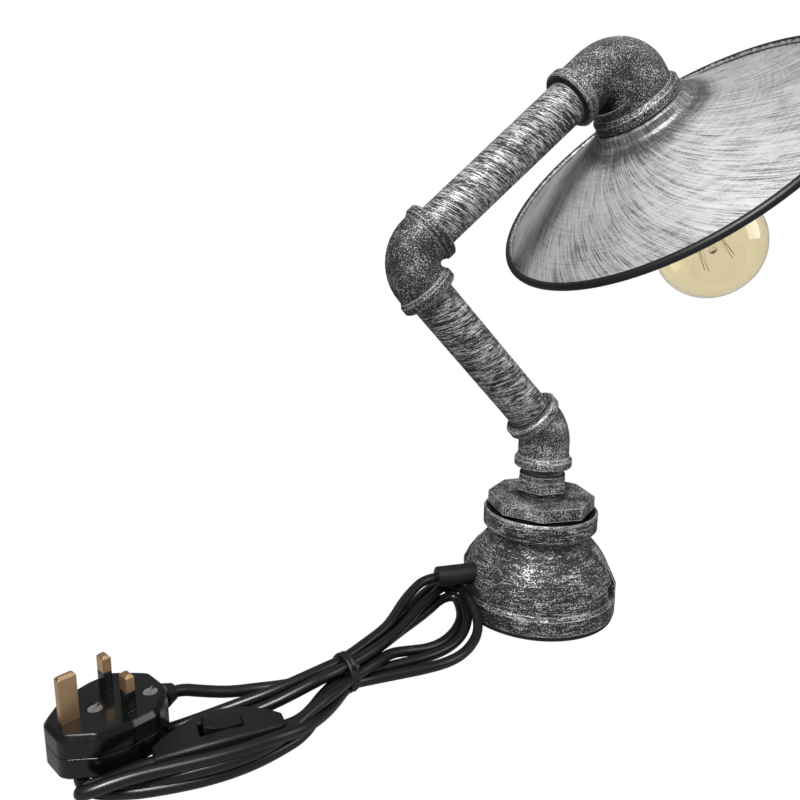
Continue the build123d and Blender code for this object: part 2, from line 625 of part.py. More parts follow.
def make_filament():
    """Cage of filament wire round the stem, hooked at both ends."""
    high = BULB_CENTRE - 0.37 * BULB_RADIUS
    low = BULB_CENTRE + 0.32 * BULB_RADIUS
    ends = ((0.19 * BULB_RADIUS, high), (0.3 * BULB_RADIUS, low))
    points = []
    for index in range(FILAMENT_LOOPS * 2):
        angle = 2 * pi * index / (FILAMENT_LOOPS * 2)
        reach, depth = ends[index % 2]
        points.append((reach * cos(angle), reach * sin(angle), depth))
    wire = Polyline(*points)
    section = Plane(origin=wire @ 0, z_dir=wire % 0) * RegularPolygon(FILAMENT_WIRE, 6)
    cage = sweep(section, path=wire, transition=Transition.RIGHT)
    for end in (points[0], points[-1]):
        leg = Line((end[0] * 0.5, end[1] * 0.5, BULB_TIP + 1.56 * CAP_LENGTH), end)
        cage += sweep(Plane(origin=leg @ 0, z_dir=leg % 0) * RegularPolygon(FILAMENT_WIRE, 6), path=leg)
    return on_head(cage)


# ---- cord inside the lamp -----------------------------------------------------------
def make_flex_base():
    """Cord from the gland into the foot and up to the first swivel."""
    path = FilletPolyline((-GLAND_REACH + FLEX_GAP, 0, GLAND_HEIGHT), (0, 0, GLAND_HEIGHT),
                          (0, 0, SWIVEL_HEIGHT - FLEX_GAP), radius=5 * CORD_RADIUS)
    return swept_round(CORD_RADIUS, path)


def make_flex_lower():
    """Cord from the first swivel through the lower pipe to the middle elbow."""
    path = bent_path(KINK, UP, LOWER_DIR, KINK_LEG_LOWER, LOWER_CENTRES - KNEE_LEG - FLEX_GAP, KINK_BEND)
    return swept_round(CORD_RADIUS, path)


def make_flex_upper():
    """Cord from the middle elbow through the upper pipe to the head."""
    path = bent_path(KNEE, LOWER_DIR, UPPER_DIR, KNEE_LEG, UPPER_CENTRES - HEAD_LEG_IN - FLEX_GAP, KNEE_BEND)
    return swept_round(CORD_RADIUS, path)


def make_flex_head():
    """Cord from the head swivel down into the lampholder."""
    path = bent_path(HEAD, UPPER_DIR, HEAD_DIR, HEAD_LEG_IN, HOLDER_TOP + 13.0, HEAD_BEND)
    return swept_round(CORD_RADIUS, path)


# ---- cord gland ---------------------------------------------------------------------
def make_cord_gland():
    """Round gland whose shoulder is cut to the socket's curve, with a threaded shank."""
    length = GLAND_REACH - NECK_RADIUS
    barrel = turned([
        (0, 0), (GLAND_RADIUS - 0.8, 0), (GLAND_RADIUS, 0.8), (GLAND_RADIUS, length), (0, length)])
    body = along((-GLAND_REACH, 0, GLAND_HEIGHT), Vector(1, 0, 0), barrel)
    below = [(0, 0, PAD_THICKNESS)] + [(radius, 0, height) for radius, height in socket_outline()]
    above = [(NECK_RADIUS, 0, NECK_HEIGHT), (0, 0, NECK_HEIGHT), (0, 0, PAD_THICKNESS)]
    body -= revolve(make_face([Polyline(*below), *bell_curve(), Polyline(*above)]), Axis.Z)
    shank = rod(GLAND_THREAD_RADIUS, 0, gland_nut_face() + GLAND_NUT_THICKNESS + 1.5)
    body += along((-GLAND_REACH, 0, GLAND_HEIGHT), Vector(1, 0, 0), shank)
    bore = rod(CORD_RADIUS + SEAT_GAP, -1, GLAND_REACH)
    return body - along((-GLAND_REACH, 0, GLAND_HEIGHT), Vector(1, 0, 0), bore)


def gland_nut_face():
    """Distance from the gland's outer end to its nut, clear of the sloping wall inside."""
    nut_top = GLAND_HEIGHT + GLAND_NUT_ACROSS_FLATS / 2 + 1.2
    low = SHOULDER_HEIGHT + 2.0
    high = NECK_HEIGHT - 5.0
    share = max(0.0, (nut_top - low) / (high - low))
    wall = FOOT_BORE_RADIUS + (COLLAR_BORE_RADIUS - FOOT_BORE_RADIUS) * share
    return GLAND_REACH - wall + SEAT_GAP


def make_gland_nut():
    """Hexagon nut that holds the gland inside the foot."""
    nut = polygon_prism(6, GLAND_NUT_ACROSS_FLATS, GLAND_NUT_THICKNESS, 30)
    nut -= rod(GLAND_THREAD_RADIUS + THREAD_GAP, -1, GLAND_NUT_THICKNESS + 1)
    origin = (-GLAND_REACH + gland_nut_face(), 0, GLAND_HEIGHT)
    return along(origin, Vector(1, 0, 0), nut)


# ---- switch on the cord -------------------------------------------------------------
def at_switch(shape):
    """Place a shape made with its length on X at the switch."""
    return Pos(SWITCH_X, SWITCH_Y, 0) * Rot(0, 0, SWITCH_TURN) * shape


def switch_plan(inset=0.0):
    """Boat-shaped plan of the switch, drawn in by an inset."""
    half = SWITCH_LENGTH / 2 - inset
    end = SWITCH_END_WIDTH / 2 - inset
    middle = SWITCH_WIDTH / 2 - inset
    edges = [
        ThreePointArc((-half, -end), (0, -middle), (half, -end)), Line((half, -end), (half, end)),
        ThreePointArc((half, end), (0, middle), (-half, end)), Line((-half, end), (-half, -end))]
    return make_face(edges)


def switch_arch(inset=0.0):
    """Everything under the switch's arched top, lowered by an inset."""
    half = SWITCH_LENGTH / 2
    end = SWITCH_END_HEIGHT - inset
    edges = [
        ThreePointArc((-half, 0, end), (0, 0, SWITCH_HEIGHT - inset), (half, 0, end)),
        Polyline((half, 0, end), (half, 0, 0), (-half, 0, 0), (-half, 0, end))]
    return extrude(make_face(edges), SWITCH_WIDTH, both=True)


def switch_pocket(low, high):
    """Hollow inside the switch, clear of the solid blocks at both ends."""
    inner = Pos(0, 0, low) * extrude(switch_plan(SWITCH_WALL), high - low)
    block = SWITCH_LENGTH - 2 * SWITCH_BLOCK
    return inner & switch_arch(SWITCH_WALL) & Pos(0, 0, (low + high) / 2) * Box(block, SWITCH_WIDTH, high - low)


def switch_cord_holes():
    """Blind holes for the cord in both ends, at the split line."""
    depth = SWITCH_BLOCK - SWITCH_WALL
    holes = []
    for side in (-1, 1):
        origin = (side * SWITCH_LENGTH / 2, 0, SWITCH_SPLIT)
        holes.append(along(origin, Vector(-side, 0, 0), rod(CORD_RADIUS + SEAT_GAP, -1, depth)))
    return holes


def make_switch_base():
    """Lower half of the switch."""
    body = extrude(switch_plan(), SWITCH_SPLIT - SEAT_GAP)
    body = chamfer(body.faces().sort_by(Axis.Z)[0].edges(), 1.5)
    body -= switch_pocket(SWITCH_WALL, SWITCH_SPLIT)
    body = body - switch_cord_holes()
    for side in (-1, 1):
        body -= Pos(side * SWITCH_LENGTH * 0.29, 0, -1) * Cylinder(1.6, SWITCH_SPLIT * 2)
    return at_switch(body)


def make_switch_cover():
    """Upper half of the switch with an arched top and the rocker's window."""
    height = SWITCH_HEIGHT - SWITCH_SPLIT - SEAT_GAP
    body = Pos(0, 0, SWITCH_SPLIT + SEAT_GAP) * extrude(switch_plan(), height) & switch_arch()
    body = fillet(body.faces().sort_by(Axis.Z)[-1].edges(), 1.6)
    body -= switch_pocket(SWITCH_SPLIT, SWITCH_HEIGHT - SWITCH_WALL)
    window = Box(ROCKER_LENGTH + 2 * ROCKER_GAP + 1.2, ROCKER_WIDTH + 2 * ROCKER_GAP, 3 * SWITCH_WALL)
    body -= Pos(0, 0, SWITCH_HEIGHT - SWITCH_WALL) * window
    body = body - switch_cord_holes()
    return at_switch(body)


def rocker_pivot():
    """Height of the rocker's pivot above the table."""
    return SWITCH_HEIGHT - SWITCH_WALL - 2.4


def make_switch_rocker():
    """Rocker with a dished top, tipped to its rest side, on trunnions."""
    half = ROCKER_LENGTH / 2
    pivot = rocker_pivot()
    rise = SWITCH_HEIGHT + ROCKER_STAND - pivot
    keel = -ROCKER_DEPTH + 1.6
    edges = [
        Line((-half, 0, rise - 1.2), (-half + 1.2, 0, rise)),
        ThreePointArc((-half + 1.2, 0, rise), (0, 0, rise - 1.6), (half - 1.2, 0, rise)),
        Polyline((half - 1.2, 0, rise), (half, 0, rise - 1.2), (half - 1.0, 0, 0.4), (2.5, 0, keel),
                 (-2.5, 0, keel), (-half + 1.0, 0, 0.4), (-half, 0, rise - 1.2))]
    body = extrude(make_face(edges), ROCKER_WIDTH / 2, both=True)
    body += Rot(90, 0, 0) * Cylinder(ROCKER_PIN_RADIUS, ROCKER_WIDTH + 3.6)
    return at_switch(Pos(0, 0, pivot) * Rot(0, ROCKER_TILT, 0) * body)


def make_rocker_cradle():
    """Bracket under the cover that carries the rocker's trunnions."""
    gap = ROCKER_GAP
    inner = ROCKER_WIDTH / 2 + gap
    high = SWITCH_HEIGHT - SWITCH_WALL - 3 * SEAT_GAP
    low = SWITCH_WALL + SEAT_GAP
    floor = Pos(0, 0, low) * Box(8.0, 2 * inner + 4.0, 1.4, align=(Align.CENTER, Align.CENTER, Align.MIN))
    body = floor
    for side in (-1, 1):
        cheek = Box(6.0, 2.0, high - low, align=(Align.CENTER, Align.CENTER, Align.MIN))
        body += Pos(0, side * (inner + 1.0), low) * cheek
    body -= Pos(0, 0, rocker_pivot()) * Rot(90, 0, 0) * Cylinder(ROCKER_PIN_RADIUS + 0.08, SWITCH_WIDTH)
    return at_switch(body)


def make_switch_contact(side):
    """Contact strip on the switch's floor, at one side of the cradle."""
    low = SWITCH_WALL + SEAT_GAP
    strip = Pos(side * 12.0, 0, low) * Box(12.0, 5.0, 0.8, align=(Align.CENTER, Align.CENTER, Align.MIN))
    post = Pos(side * 15.0, 0, low) * Box(4.0, 5.0, 4.0, align=(Align.CENTER, Align.CENTER, Align.MIN))
    return at_switch(strip + post)


# ---- plug ---------------------------------------------------------------------------
def at_plug(shape):
    """Place a shape whose X runs from the earth pin to the cord exit."""
    return Pos(PLUG_X, PLUG_Y, 0) * Rot(0, 0, PLUG_TURN) * shape


def plug_plan(inset=0.0):
    """Shield-shaped plan of the plug, narrow at the earth pin and at the cord."""
    far = PLUG_LENGTH - PLUG_INSET - inset
    near = -PLUG_INSET + inset
    half = PLUG_WIDTH / 2 - inset
    line = PIN_SPACING
    corners = [(near, 0.38 * half), (near + 12.0, 0.86 * half), (line - 4.0, half), (line + 8.0, half),
               (far - 5.0, 0.62 * half), (far, 0.36 * half)]
    mirror = [(x, -y) for x, y in reversed(corners)]
    face = make_face(Polyline(*corners, *mirror, close=True))
    return fillet(face.vertices(), PLUG_CORNER - inset)


def plug_cord_hole(margin=0.0):
    """Hole for the cord's boot at the split line."""
    far = PLUG_LENGTH - PLUG_INSET
    return along((far + 1, 0, PLUG_SPLIT), Vector(-1, 0, 0), rod(CORD_RADIUS + 1.2 + margin, 0, PLUG_WALL + 8.0))


def make_plug_cover():
    """Lower shell of the plug, on the table side, with a finger groove round it."""
    body = Pos(0, 0, PLUG_REST) * extrude(plug_plan(), PLUG_COVER_DEPTH)
    body = chamfer(body.faces().sort_by(Axis.Z)[0].edges(), 1.6)
    body -= Pos(0, 0, PLUG_REST + PLUG_WALL) * extrude(plug_plan(PLUG_WALL), PLUG_COVER_DEPTH)
    body -= plug_cord_hole(SEAT_GAP)
    return at_plug(body)


def pin_places():
    """Live and neutral pin centres in the plug's frame."""
    return {"live": (PIN_SPACING, -PIN_SPACING / 2), "neutral": (PIN_SPACING, PIN_SPACING / 2)}


def screw_places():
    """Screw centres in the plug's frame: cover screw, then cord clamp screw."""
    return [(PIN_SPACING * 0.53, 0.0), (PIN_SPACING + 13.0, -6.5)]


def make_plug_base():
    """Pin face of the plug with its bevelled edge, slots and screw recesses."""
    low = PLUG_SPLIT + PLUG_SEAM
    body = Pos(0, 0, low) * extrude(plug_plan(), PLUG_BASE_DEPTH)
    body = chamfer(body.faces().sort_by(Axis.Z)[-1].edges(), 2.6, 1.8)
    body -= Pos(0, 0, low) * extrude(plug_plan(PLUG_WALL), PLUG_BASE_DEPTH - PLUG_FACE)
    body -= slot_block(0, 0, EARTH_WIDTH, PIN_THICKNESS)
    for x, y in pin_places().values():
        body -= slot_block(x, y, PIN_THICKNESS, PIN_WIDTH)
    for x, y in screw_places():
        body -= Pos(x, y, PLUG_TOP) * Cylinder(3.6, 3.0)
        body -= Pos(x, y, PLUG_TOP) * Cylinder(1.8, 30.0)
    body -= plug_cord_hole(SEAT_GAP)
    return at_plug(body)


def slot_block(x, y, length, width):
    """Cutter for one pin's slot in the pin face."""
    return Pos(x, y, PLUG_TOP) * Box(length + 2 * SEAT_GAP, width + 2 * SEAT_GAP, 3 * PLUG_FACE)


def pin_bar(length, width, height, inset=0.0):
    """Flat pin with a bevelled tip and a wider root under the pin face."""
    root = PLUG_TOP - PLUG_FACE - SEAT_GAP
    bar = Pos(0, 0, root) * Box(length, width, height + PLUG_TOP - root, align=(Align.CENTER, Align.CENTER, Align.MIN))
    bar = chamfer(bar.faces().sort_by(Axis.Z)[-1].edges(), 1.3)
    foot = Pos(0, 0, root - 3.0) * Box(length + 3.0, width + 3.0, 3.0, align=(Align.CENTER, Align.CENTER, Align.MIN))
    return bar + foot


def make_earth_pin():
    """Long earth pin."""
    return at_plug(pin_bar(EARTH_WIDTH, PIN_THICKNESS, EARTH_LENGTH))


def sleeve_cut():
    """Band round a pin where its sleeve sits."""
    block = Box(PIN_THICKNESS + 2, PIN_WIDTH + 2, SLEEVE_LENGTH, align=(Align.CENTER, Align.CENTER, Align.MIN))
    wall = SLEEVE_WALL
    block -= Box(PIN_THICKNESS - 2 * wall, PIN_WIDTH - 2 * wall, SLEEVE_LENGTH,
                 align=(Align.CENTER, Align.CENTER, Align.MIN))
    return Pos(0, 0, PLUG_TOP) * block


def make_power_pin(name):
    """Live or neutral pin, thinned under its sleeve."""
    x, y = pin_places()[name]
    return at_plug(Pos(x, y, 0) * (pin_bar(PIN_THICKNESS, PIN_WIDTH, PIN_LENGTH) - sleeve_cut()))


def make_sleeve(name):
    """Insulating sleeve on the root of a pin."""
    x, y = pin_places()[name]
    wall = SLEEVE_WALL - SEAT_GAP
    low = PLUG_TOP + SEAT_GAP
    length = SLEEVE_LENGTH - 2 * SEAT_GAP
    block = Box(PIN_THICKNESS, PIN_WIDTH, length, align=(Align.CENTER, Align.CENTER, Align.MIN))
    block -= Box(PIN_THICKNESS - 2 * wall, PIN_WIDTH - 2 * wall, length,
                 align=(Align.CENTER, Align.CENTER, Align.MIN))
    return at_plug(Pos(x, y, low) * block)


def make_fuse():
    """Cartridge fuse in the cover, beside the live pin."""
    x, y = pin_places()["live"]
    body = Rot(0, 90, 0) * Cylinder(FUSE_RADIUS, FUSE_LENGTH)
    return at_plug(Pos(x - 6.0, y + 1.0, PLUG_REST + PLUG_WALL + FUSE_RADIUS + 0.6) * body)


def make_plug_screw(index):
    """Slotted screw in the pin face."""
    x, y = screw_places()[index]
    head = rod(3.4, PLUG_TOP - 1.5 + SEAT_GAP, PLUG_TOP - 0.3)
    shank = rod(1.6, PLUG_TOP - PLUG_FACE - 4.0, PLUG_TOP - 1.4)
    slot = Pos(0, 0, PLUG_TOP - 0.3) * Box(8.0, 0.9, 1.2)
    return at_plug(Pos(x, y, 0) * Rot(0, 0, 35) * (head + shank - slot))


def make_plug_boot():
    """Ribbed boot where the cord leaves the plug."""
    far = PLUG_LENGTH - PLUG_INSET
    neck = CORD_RADIUS + 1.2 - SEAT_GAP
    inner = CORD_RADIUS + SEAT_GAP
    profile = [
        (inner, -PLUG_WALL - 5.0), (neck + 2.0, -PLUG_WALL - 5.0), (neck + 2.0, -PLUG_WALL - 0.3),
        (neck, -PLUG_WALL - 0.3), (neck, 0.2), (BOOT_RADIUS, 0.2), (BOOT_RADIUS + 1.0, 2.0),
        (BOOT_RADIUS, 4.4), (BOOT_RADIUS - 1.0, BOOT_LENGTH), (inner, BOOT_LENGTH)]
    return at_plug(along((far, 0, PLUG_SPLIT), Vector(1, 0, 0), turned(profile)))


# ---- cord outside the lamp ----------------------------------------------------------
def plug_exit(distance):
    """Point on the cord's axis at a distance from the plug's end."""
    reach = PLUG_LENGTH - PLUG_INSET + distance
    return (PLUG_X + reach * cos(radians(PLUG_TURN)), PLUG_Y + reach * sin(radians(PLUG_TURN)), PLUG_SPLIT)


def switch_end(side, distance=0.0):
    """Point on the cord's axis at one end of the switch."""
    reach = side * (SWITCH_LENGTH / 2 + distance)
    return (SWITCH_X + reach * cos(radians(SWITCH_TURN)), SWITCH_Y + reach * sin(radians(SWITCH_TURN)), SWITCH_SPLIT)


def make_cord_lead():
    """Cord from the gland down to the hank."""
    return cord_tube("cord_lead", [
        (-GLAND_REACH - SEAT_GAP, 0, GLAND_HEIGHT), (-80.6, -1.4, GLAND_HEIGHT - 0.3), (-89.6, -8.4, 24.6),
        (-98.3, -17.6, 22.3), (-107.2, -28.3, 20.2), (-115.4, -38.6, 18.2)])


def make_cord_to_plug():
    """Cord from the hank to the plug."""
    start = plug_exit(BOOT_LENGTH * 0.2)
    straight = plug_exit(BOOT_LENGTH + 2.5)
    return cord_tube("cord_to_plug", [
        start, straight, (-218.6, -66.4, 13.6), (-205.4, -66.8, 11), (-192.6, -66, 10), (-179.6, -67, 10),
        (-167.6, -67.4, 11)])


def make_cord_to_switch():
    """Cord that leaves the switch toward the plug and turns into the hank."""
    return cord_tube("cord_to_switch", [
        switch_end(-1, SEAT_GAP), (-247.4, -109, 8.6), (-254.8, -112.6, 9.2), (-261.6, -117.2, 9.5)])


def make_cord_from_switch():
    """Cord from the switch to the tied bundle."""
    return cord_tube("cord_from_switch", [
        switch_end(1, SEAT_GAP), (-172.6, -94.4, 8.7), (-165.4, -87.8, 9.4), (-160.2, -80.4, 9.8)])


def flat_ring(points, width, height):
    """Closed band of cord lying on the table."""
    plan = make_face(Polyline(*points, close=True))
    plan = fillet(plan.vertices(), 12.0)
    return extrude(offset(plan, width / 2) - offset(plan, -width / 2), height)


def make_cord_hank():
    """Outer shape of the coiled cord: two loops on the table joined by the tied bundle."""
    near_side = [(-246, -120.5), (-214, -120.5), (-189.7, -115.3), (-168.6, -101.8)]
    low_loop = flat_ring([
        (-149, -63), (-190, -61.5), (-219, -67), (-247, -76.5), (-268, -89), (-271, -108),
        *near_side, (-152, -80)], HANK_BAND, HANK_HEIGHT)
    near = FilletPolyline((-268, -119), *near_side, (-150, -73), radius=12.0)
    near_lanes = extrude(trace(near, HANK_NEAR_BAND), HANK_NEAR_HEIGHT)
    heading = Vector(cos(radians(TIE_HEADING)), sin(radians(TIE_HEADING)), 0)
    tie = Vector(TIE_X, TIE_Y, TIE_HEIGHT)
    bundle = along(tie, heading, rod(BUNDLE_RADIUS, -BUNDLE_LENGTH / 2, BUNDLE_LENGTH / 2))
    foot = FOOT_RADIUS + HANK_LOOP_RADIUS
    loop, radii = cord_path([
        (-147, -65, 10.9), (-127, -50, 13.5), (-104, -24, 13.5), (-85, -1, 11.5), (-foot - 12.3, 10.5, 9.5),
        (-foot - 2.3, 4, 7.6), (-foot - 1.2, -15, 6.5), (-foot - 6.3, -36, 6.4), (-79, -52, 6.4),
        (-102, -61, 6.4), (-124, -64, 7.4), (-143, -67, 9.5)])
    print(f"cord_hank right loop radii {[round(r, 1) for r in radii]}")
    bite = along(tie, heading, tube(2 * BUNDLE_RADIUS, BUNDLE_RADIUS, -TIE_WIDTH / 2 - SEAT_GAP,
                                    TIE_WIDTH / 2 + SEAT_GAP))
    return low_loop + near_lanes + bundle + swept_round(HANK_LOOP_RADIUS, loop) - bite


def make_cord_tie():
    """Flat tie wound twice round the bundle, with its twisted ends."""
    heading = Vector(cos(radians(TIE_HEADING)), sin(radians(TIE_HEADING)), 0)
    inner = BUNDLE_RADIUS + SEAT_GAP
    outer = inner + TIE_THICKNESS
    ring = turned([
        (inner, -TIE_WIDTH / 2), (outer - 0.4, -TIE_WIDTH / 2), (outer, -TIE_WIDTH / 4), (outer - 0.4, 0),
        (outer, TIE_WIDTH / 4), (outer - 0.4, TIE_WIDTH / 2), (inner, TIE_WIDTH / 2)])
    twist = Pos(0, 0, outer - 0.5) * Cylinder(1.3, 4.5, align=(Align.CENTER, Align.CENTER, Align.MIN))
    tail = Rot(0, 0, TIE_TAIL_TURN) * Rot(0, 90, 0) * twist
    return along((TIE_X, TIE_Y, TIE_HEIGHT), heading, ring + tail, Vector(0, 0, 1))


# ---- all pieces ---------------------------------------------------------------------
NODES = {
    "base_socket": make_base_socket(),
    "foot_pad": make_foot_pad(),
    "base_plate": make_base_plate(),
    "octagon_bush": make_octagon_bush(),
    "hex_nipple": make_hex_nipple(),
    "lower_elbow": make_elbow(KINK, UP, LOWER_DIR, KINK_LEG_LOWER, KINK_LEG_UPPER, KINK_BEND,
                              TURN_GAP, THREAD_GAP),
    "lower_pipe": make_pipe(KINK + LOWER_DIR * (KINK_LEG_UPPER - THREAD_DEPTH), LOWER_DIR,
                            LOWER_CENTRES - KINK_LEG_UPPER - KNEE_LEG + 2 * THREAD_DEPTH),
    "middle_elbow": make_elbow(KNEE, LOWER_DIR, UPPER_DIR, KNEE_LEG, KNEE_LEG, KNEE_BEND, TURN_GAP, THREAD_GAP),
    "upper_pipe": make_pipe(KNEE + UPPER_DIR * (KNEE_LEG - THREAD_DEPTH), UPPER_DIR,
                            UPPER_CENTRES - KNEE_LEG - HEAD_LEG_IN + 2 * THREAD_DEPTH),
    "head_elbow": make_head_elbow(),
    "outlet_bush": make_outlet_bush(),
    "shade": make_shade(),
    "rim_wire": make_rim_wire(),
    "holder_stem": make_stem(),
    "stem_nut": make_stem_nut(),
    "holder_cap": make_holder_cap(),
    "holder_body": make_holder_body(),
    "holder_insert": make_holder_insert(),
    "screw_shell": make_screw_shell(),
    "centre_contact": make_centre_contact(),
    "bulb_tip": make_bulb_tip(),
    "cap_insulator": make_cap_insulator(),
    "bulb_cap": make_bulb_cap(),
    "bulb_glass": make_bulb_glass(),
    "bulb_stem": make_bulb_stem(),
    "filament": make_filament(),
    "flex_base": make_flex_base(),
    "flex_lower": make_flex_lower(),
    "flex_upper": make_flex_upper(),
    "flex_head": make_flex_head(),
    "cord_gland": make_cord_gland(),
    "gland_nut": make_gland_nut(),
    "switch_base": make_switch_base(),
    "switch_cover": make_switch_cover(),
    "switch_rocker": make_switch_rocker(),
    "rocker_cradle": make_rocker_cradle(),
    "switch_contact_a": make_switch_contact(-1),
    "switch_contact_b": make_switch_contact(1),
    "plug_cover": make_plug_cover(),
    "plug_base": make_plug_base(),
    "earth_pin": make_earth_pin(),
    "live_pin": make_power_pin("live"),
    "neutral_pin": make_power_pin("neutral"),
    "live_sleeve": make_sleeve("live"),
    "neutral_sleeve": make_sleeve("neutral"),
    "fuse": make_fuse(),
    "plug_screw": make_plug_screw(0),
    "clamp_screw": make_plug_screw(1),
    "plug_boot": make_plug_boot(),
    "cord_lead": make_cord_lead(),
    "cord_to_plug": make_cord_to_plug(),
    "cord_to_switch": make_cord_to_switch(),
    "cord_from_switch": make_cord_from_switch(),
    "cord_hank": make_cord_hank(),
    "cord_tie": make_cord_tie(),
}

os.makedirs("parts", exist_ok=True)
for node, solid in NODES.items():
    solid.label = node
    export_step(solid, f"parts/{node}.step")
print(f"{len(NODES)} pieces written")
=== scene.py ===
import json
import logging
import math
from dataclasses import dataclass
from enum import Enum

import bmesh
import bpy
from mathutils import Matrix, Vector


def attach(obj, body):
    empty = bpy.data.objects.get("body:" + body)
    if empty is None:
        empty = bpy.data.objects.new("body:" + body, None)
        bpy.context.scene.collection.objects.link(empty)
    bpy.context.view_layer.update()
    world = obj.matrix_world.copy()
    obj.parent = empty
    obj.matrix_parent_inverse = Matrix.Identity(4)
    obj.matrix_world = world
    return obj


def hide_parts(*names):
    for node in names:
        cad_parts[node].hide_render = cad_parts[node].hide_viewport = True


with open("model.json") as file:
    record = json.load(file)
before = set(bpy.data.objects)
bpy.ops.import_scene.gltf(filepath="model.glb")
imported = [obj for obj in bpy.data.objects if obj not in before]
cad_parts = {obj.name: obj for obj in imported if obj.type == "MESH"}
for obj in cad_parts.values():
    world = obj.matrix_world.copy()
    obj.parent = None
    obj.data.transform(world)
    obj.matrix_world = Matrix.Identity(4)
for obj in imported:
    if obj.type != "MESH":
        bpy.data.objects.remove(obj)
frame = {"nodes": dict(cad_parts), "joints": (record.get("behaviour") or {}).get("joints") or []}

LOG = logging.getLogger("pipe_lamp")
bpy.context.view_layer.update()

MM = 0.001
PER_METRE = 1000.0


def joint_line(name: str) -> tuple[Vector, Vector]:
    """Line that a joint turns about.

    Args:
        name: the joint's name in the record.

    Returns:
        A point on the line in millimetres and the line's direction.
    """
    joint = next(entry for entry in frame["joints"] if entry["name"] == name)
    return Vector(joint["pos_m"]) / MM, Vector(joint["axis"])


# Skeleton of the lamp, in millimetres, from its joints
UP = Vector((0.0, 0.0, 1.0))
LOWER_CENTRES = 144.8
KNEE, LOWER_DIR = joint_line("elbow_swivel")
HEAD, UPPER_DIR = joint_line("head_swivel")
HEAD_DIR = joint_line("bulb_turn")[1]
KINK = KNEE - LOWER_DIR * LOWER_CENTRES


class Axis(Enum):
    """Lines that turned pieces and their brush strokes follow."""

    BASE = "base"
    LOWER = "lower"
    UPPER = "upper"
    HEAD = "head"


AXES: dict[Axis, tuple[Vector, Vector]] = {
    Axis.BASE: (Vector((0.0, 0.0, 0.0)), UP),
    Axis.LOWER: (KINK, LOWER_DIR),
    Axis.UPPER: (KNEE, UPPER_DIR),
    Axis.HEAD: (HEAD, HEAD_DIR),
}


def axis_matrix(axis: Axis) -> Matrix:
    """Frame whose +Z runs along an axis.

    Args:
        axis: which line of the lamp.

    Returns:
        A 4x4 matrix in metres, from the axis frame to the row frame.
    """
    origin, direction = AXES[axis]
    turn = direction.to_track_quat("Z", "Y").to_matrix().to_4x4()
    return Matrix.Translation(origin * MM) @ turn


def linear(hex_colour: str, alpha: float = 1.0) -> tuple[float, float, float, float]:
    """Linear colour of an sRGB hex string.

    Args:
        hex_colour: six hex digits, with or without a hash.
        alpha: opacity to add.

    Returns:
        Red, green, blue and alpha for a shader socket.
    """
    digits = hex_colour.lstrip("#")
    channels = []
    for place in range(0, 6, 2):
        value = int(digits[place:place + 2], 16) / 255.0
        channels.append(value / 12.92 if value <= 0.04045 else ((value + 0.055) / 1.055) ** 2.4)
    return channels[0], channels[1], channels[2], alpha


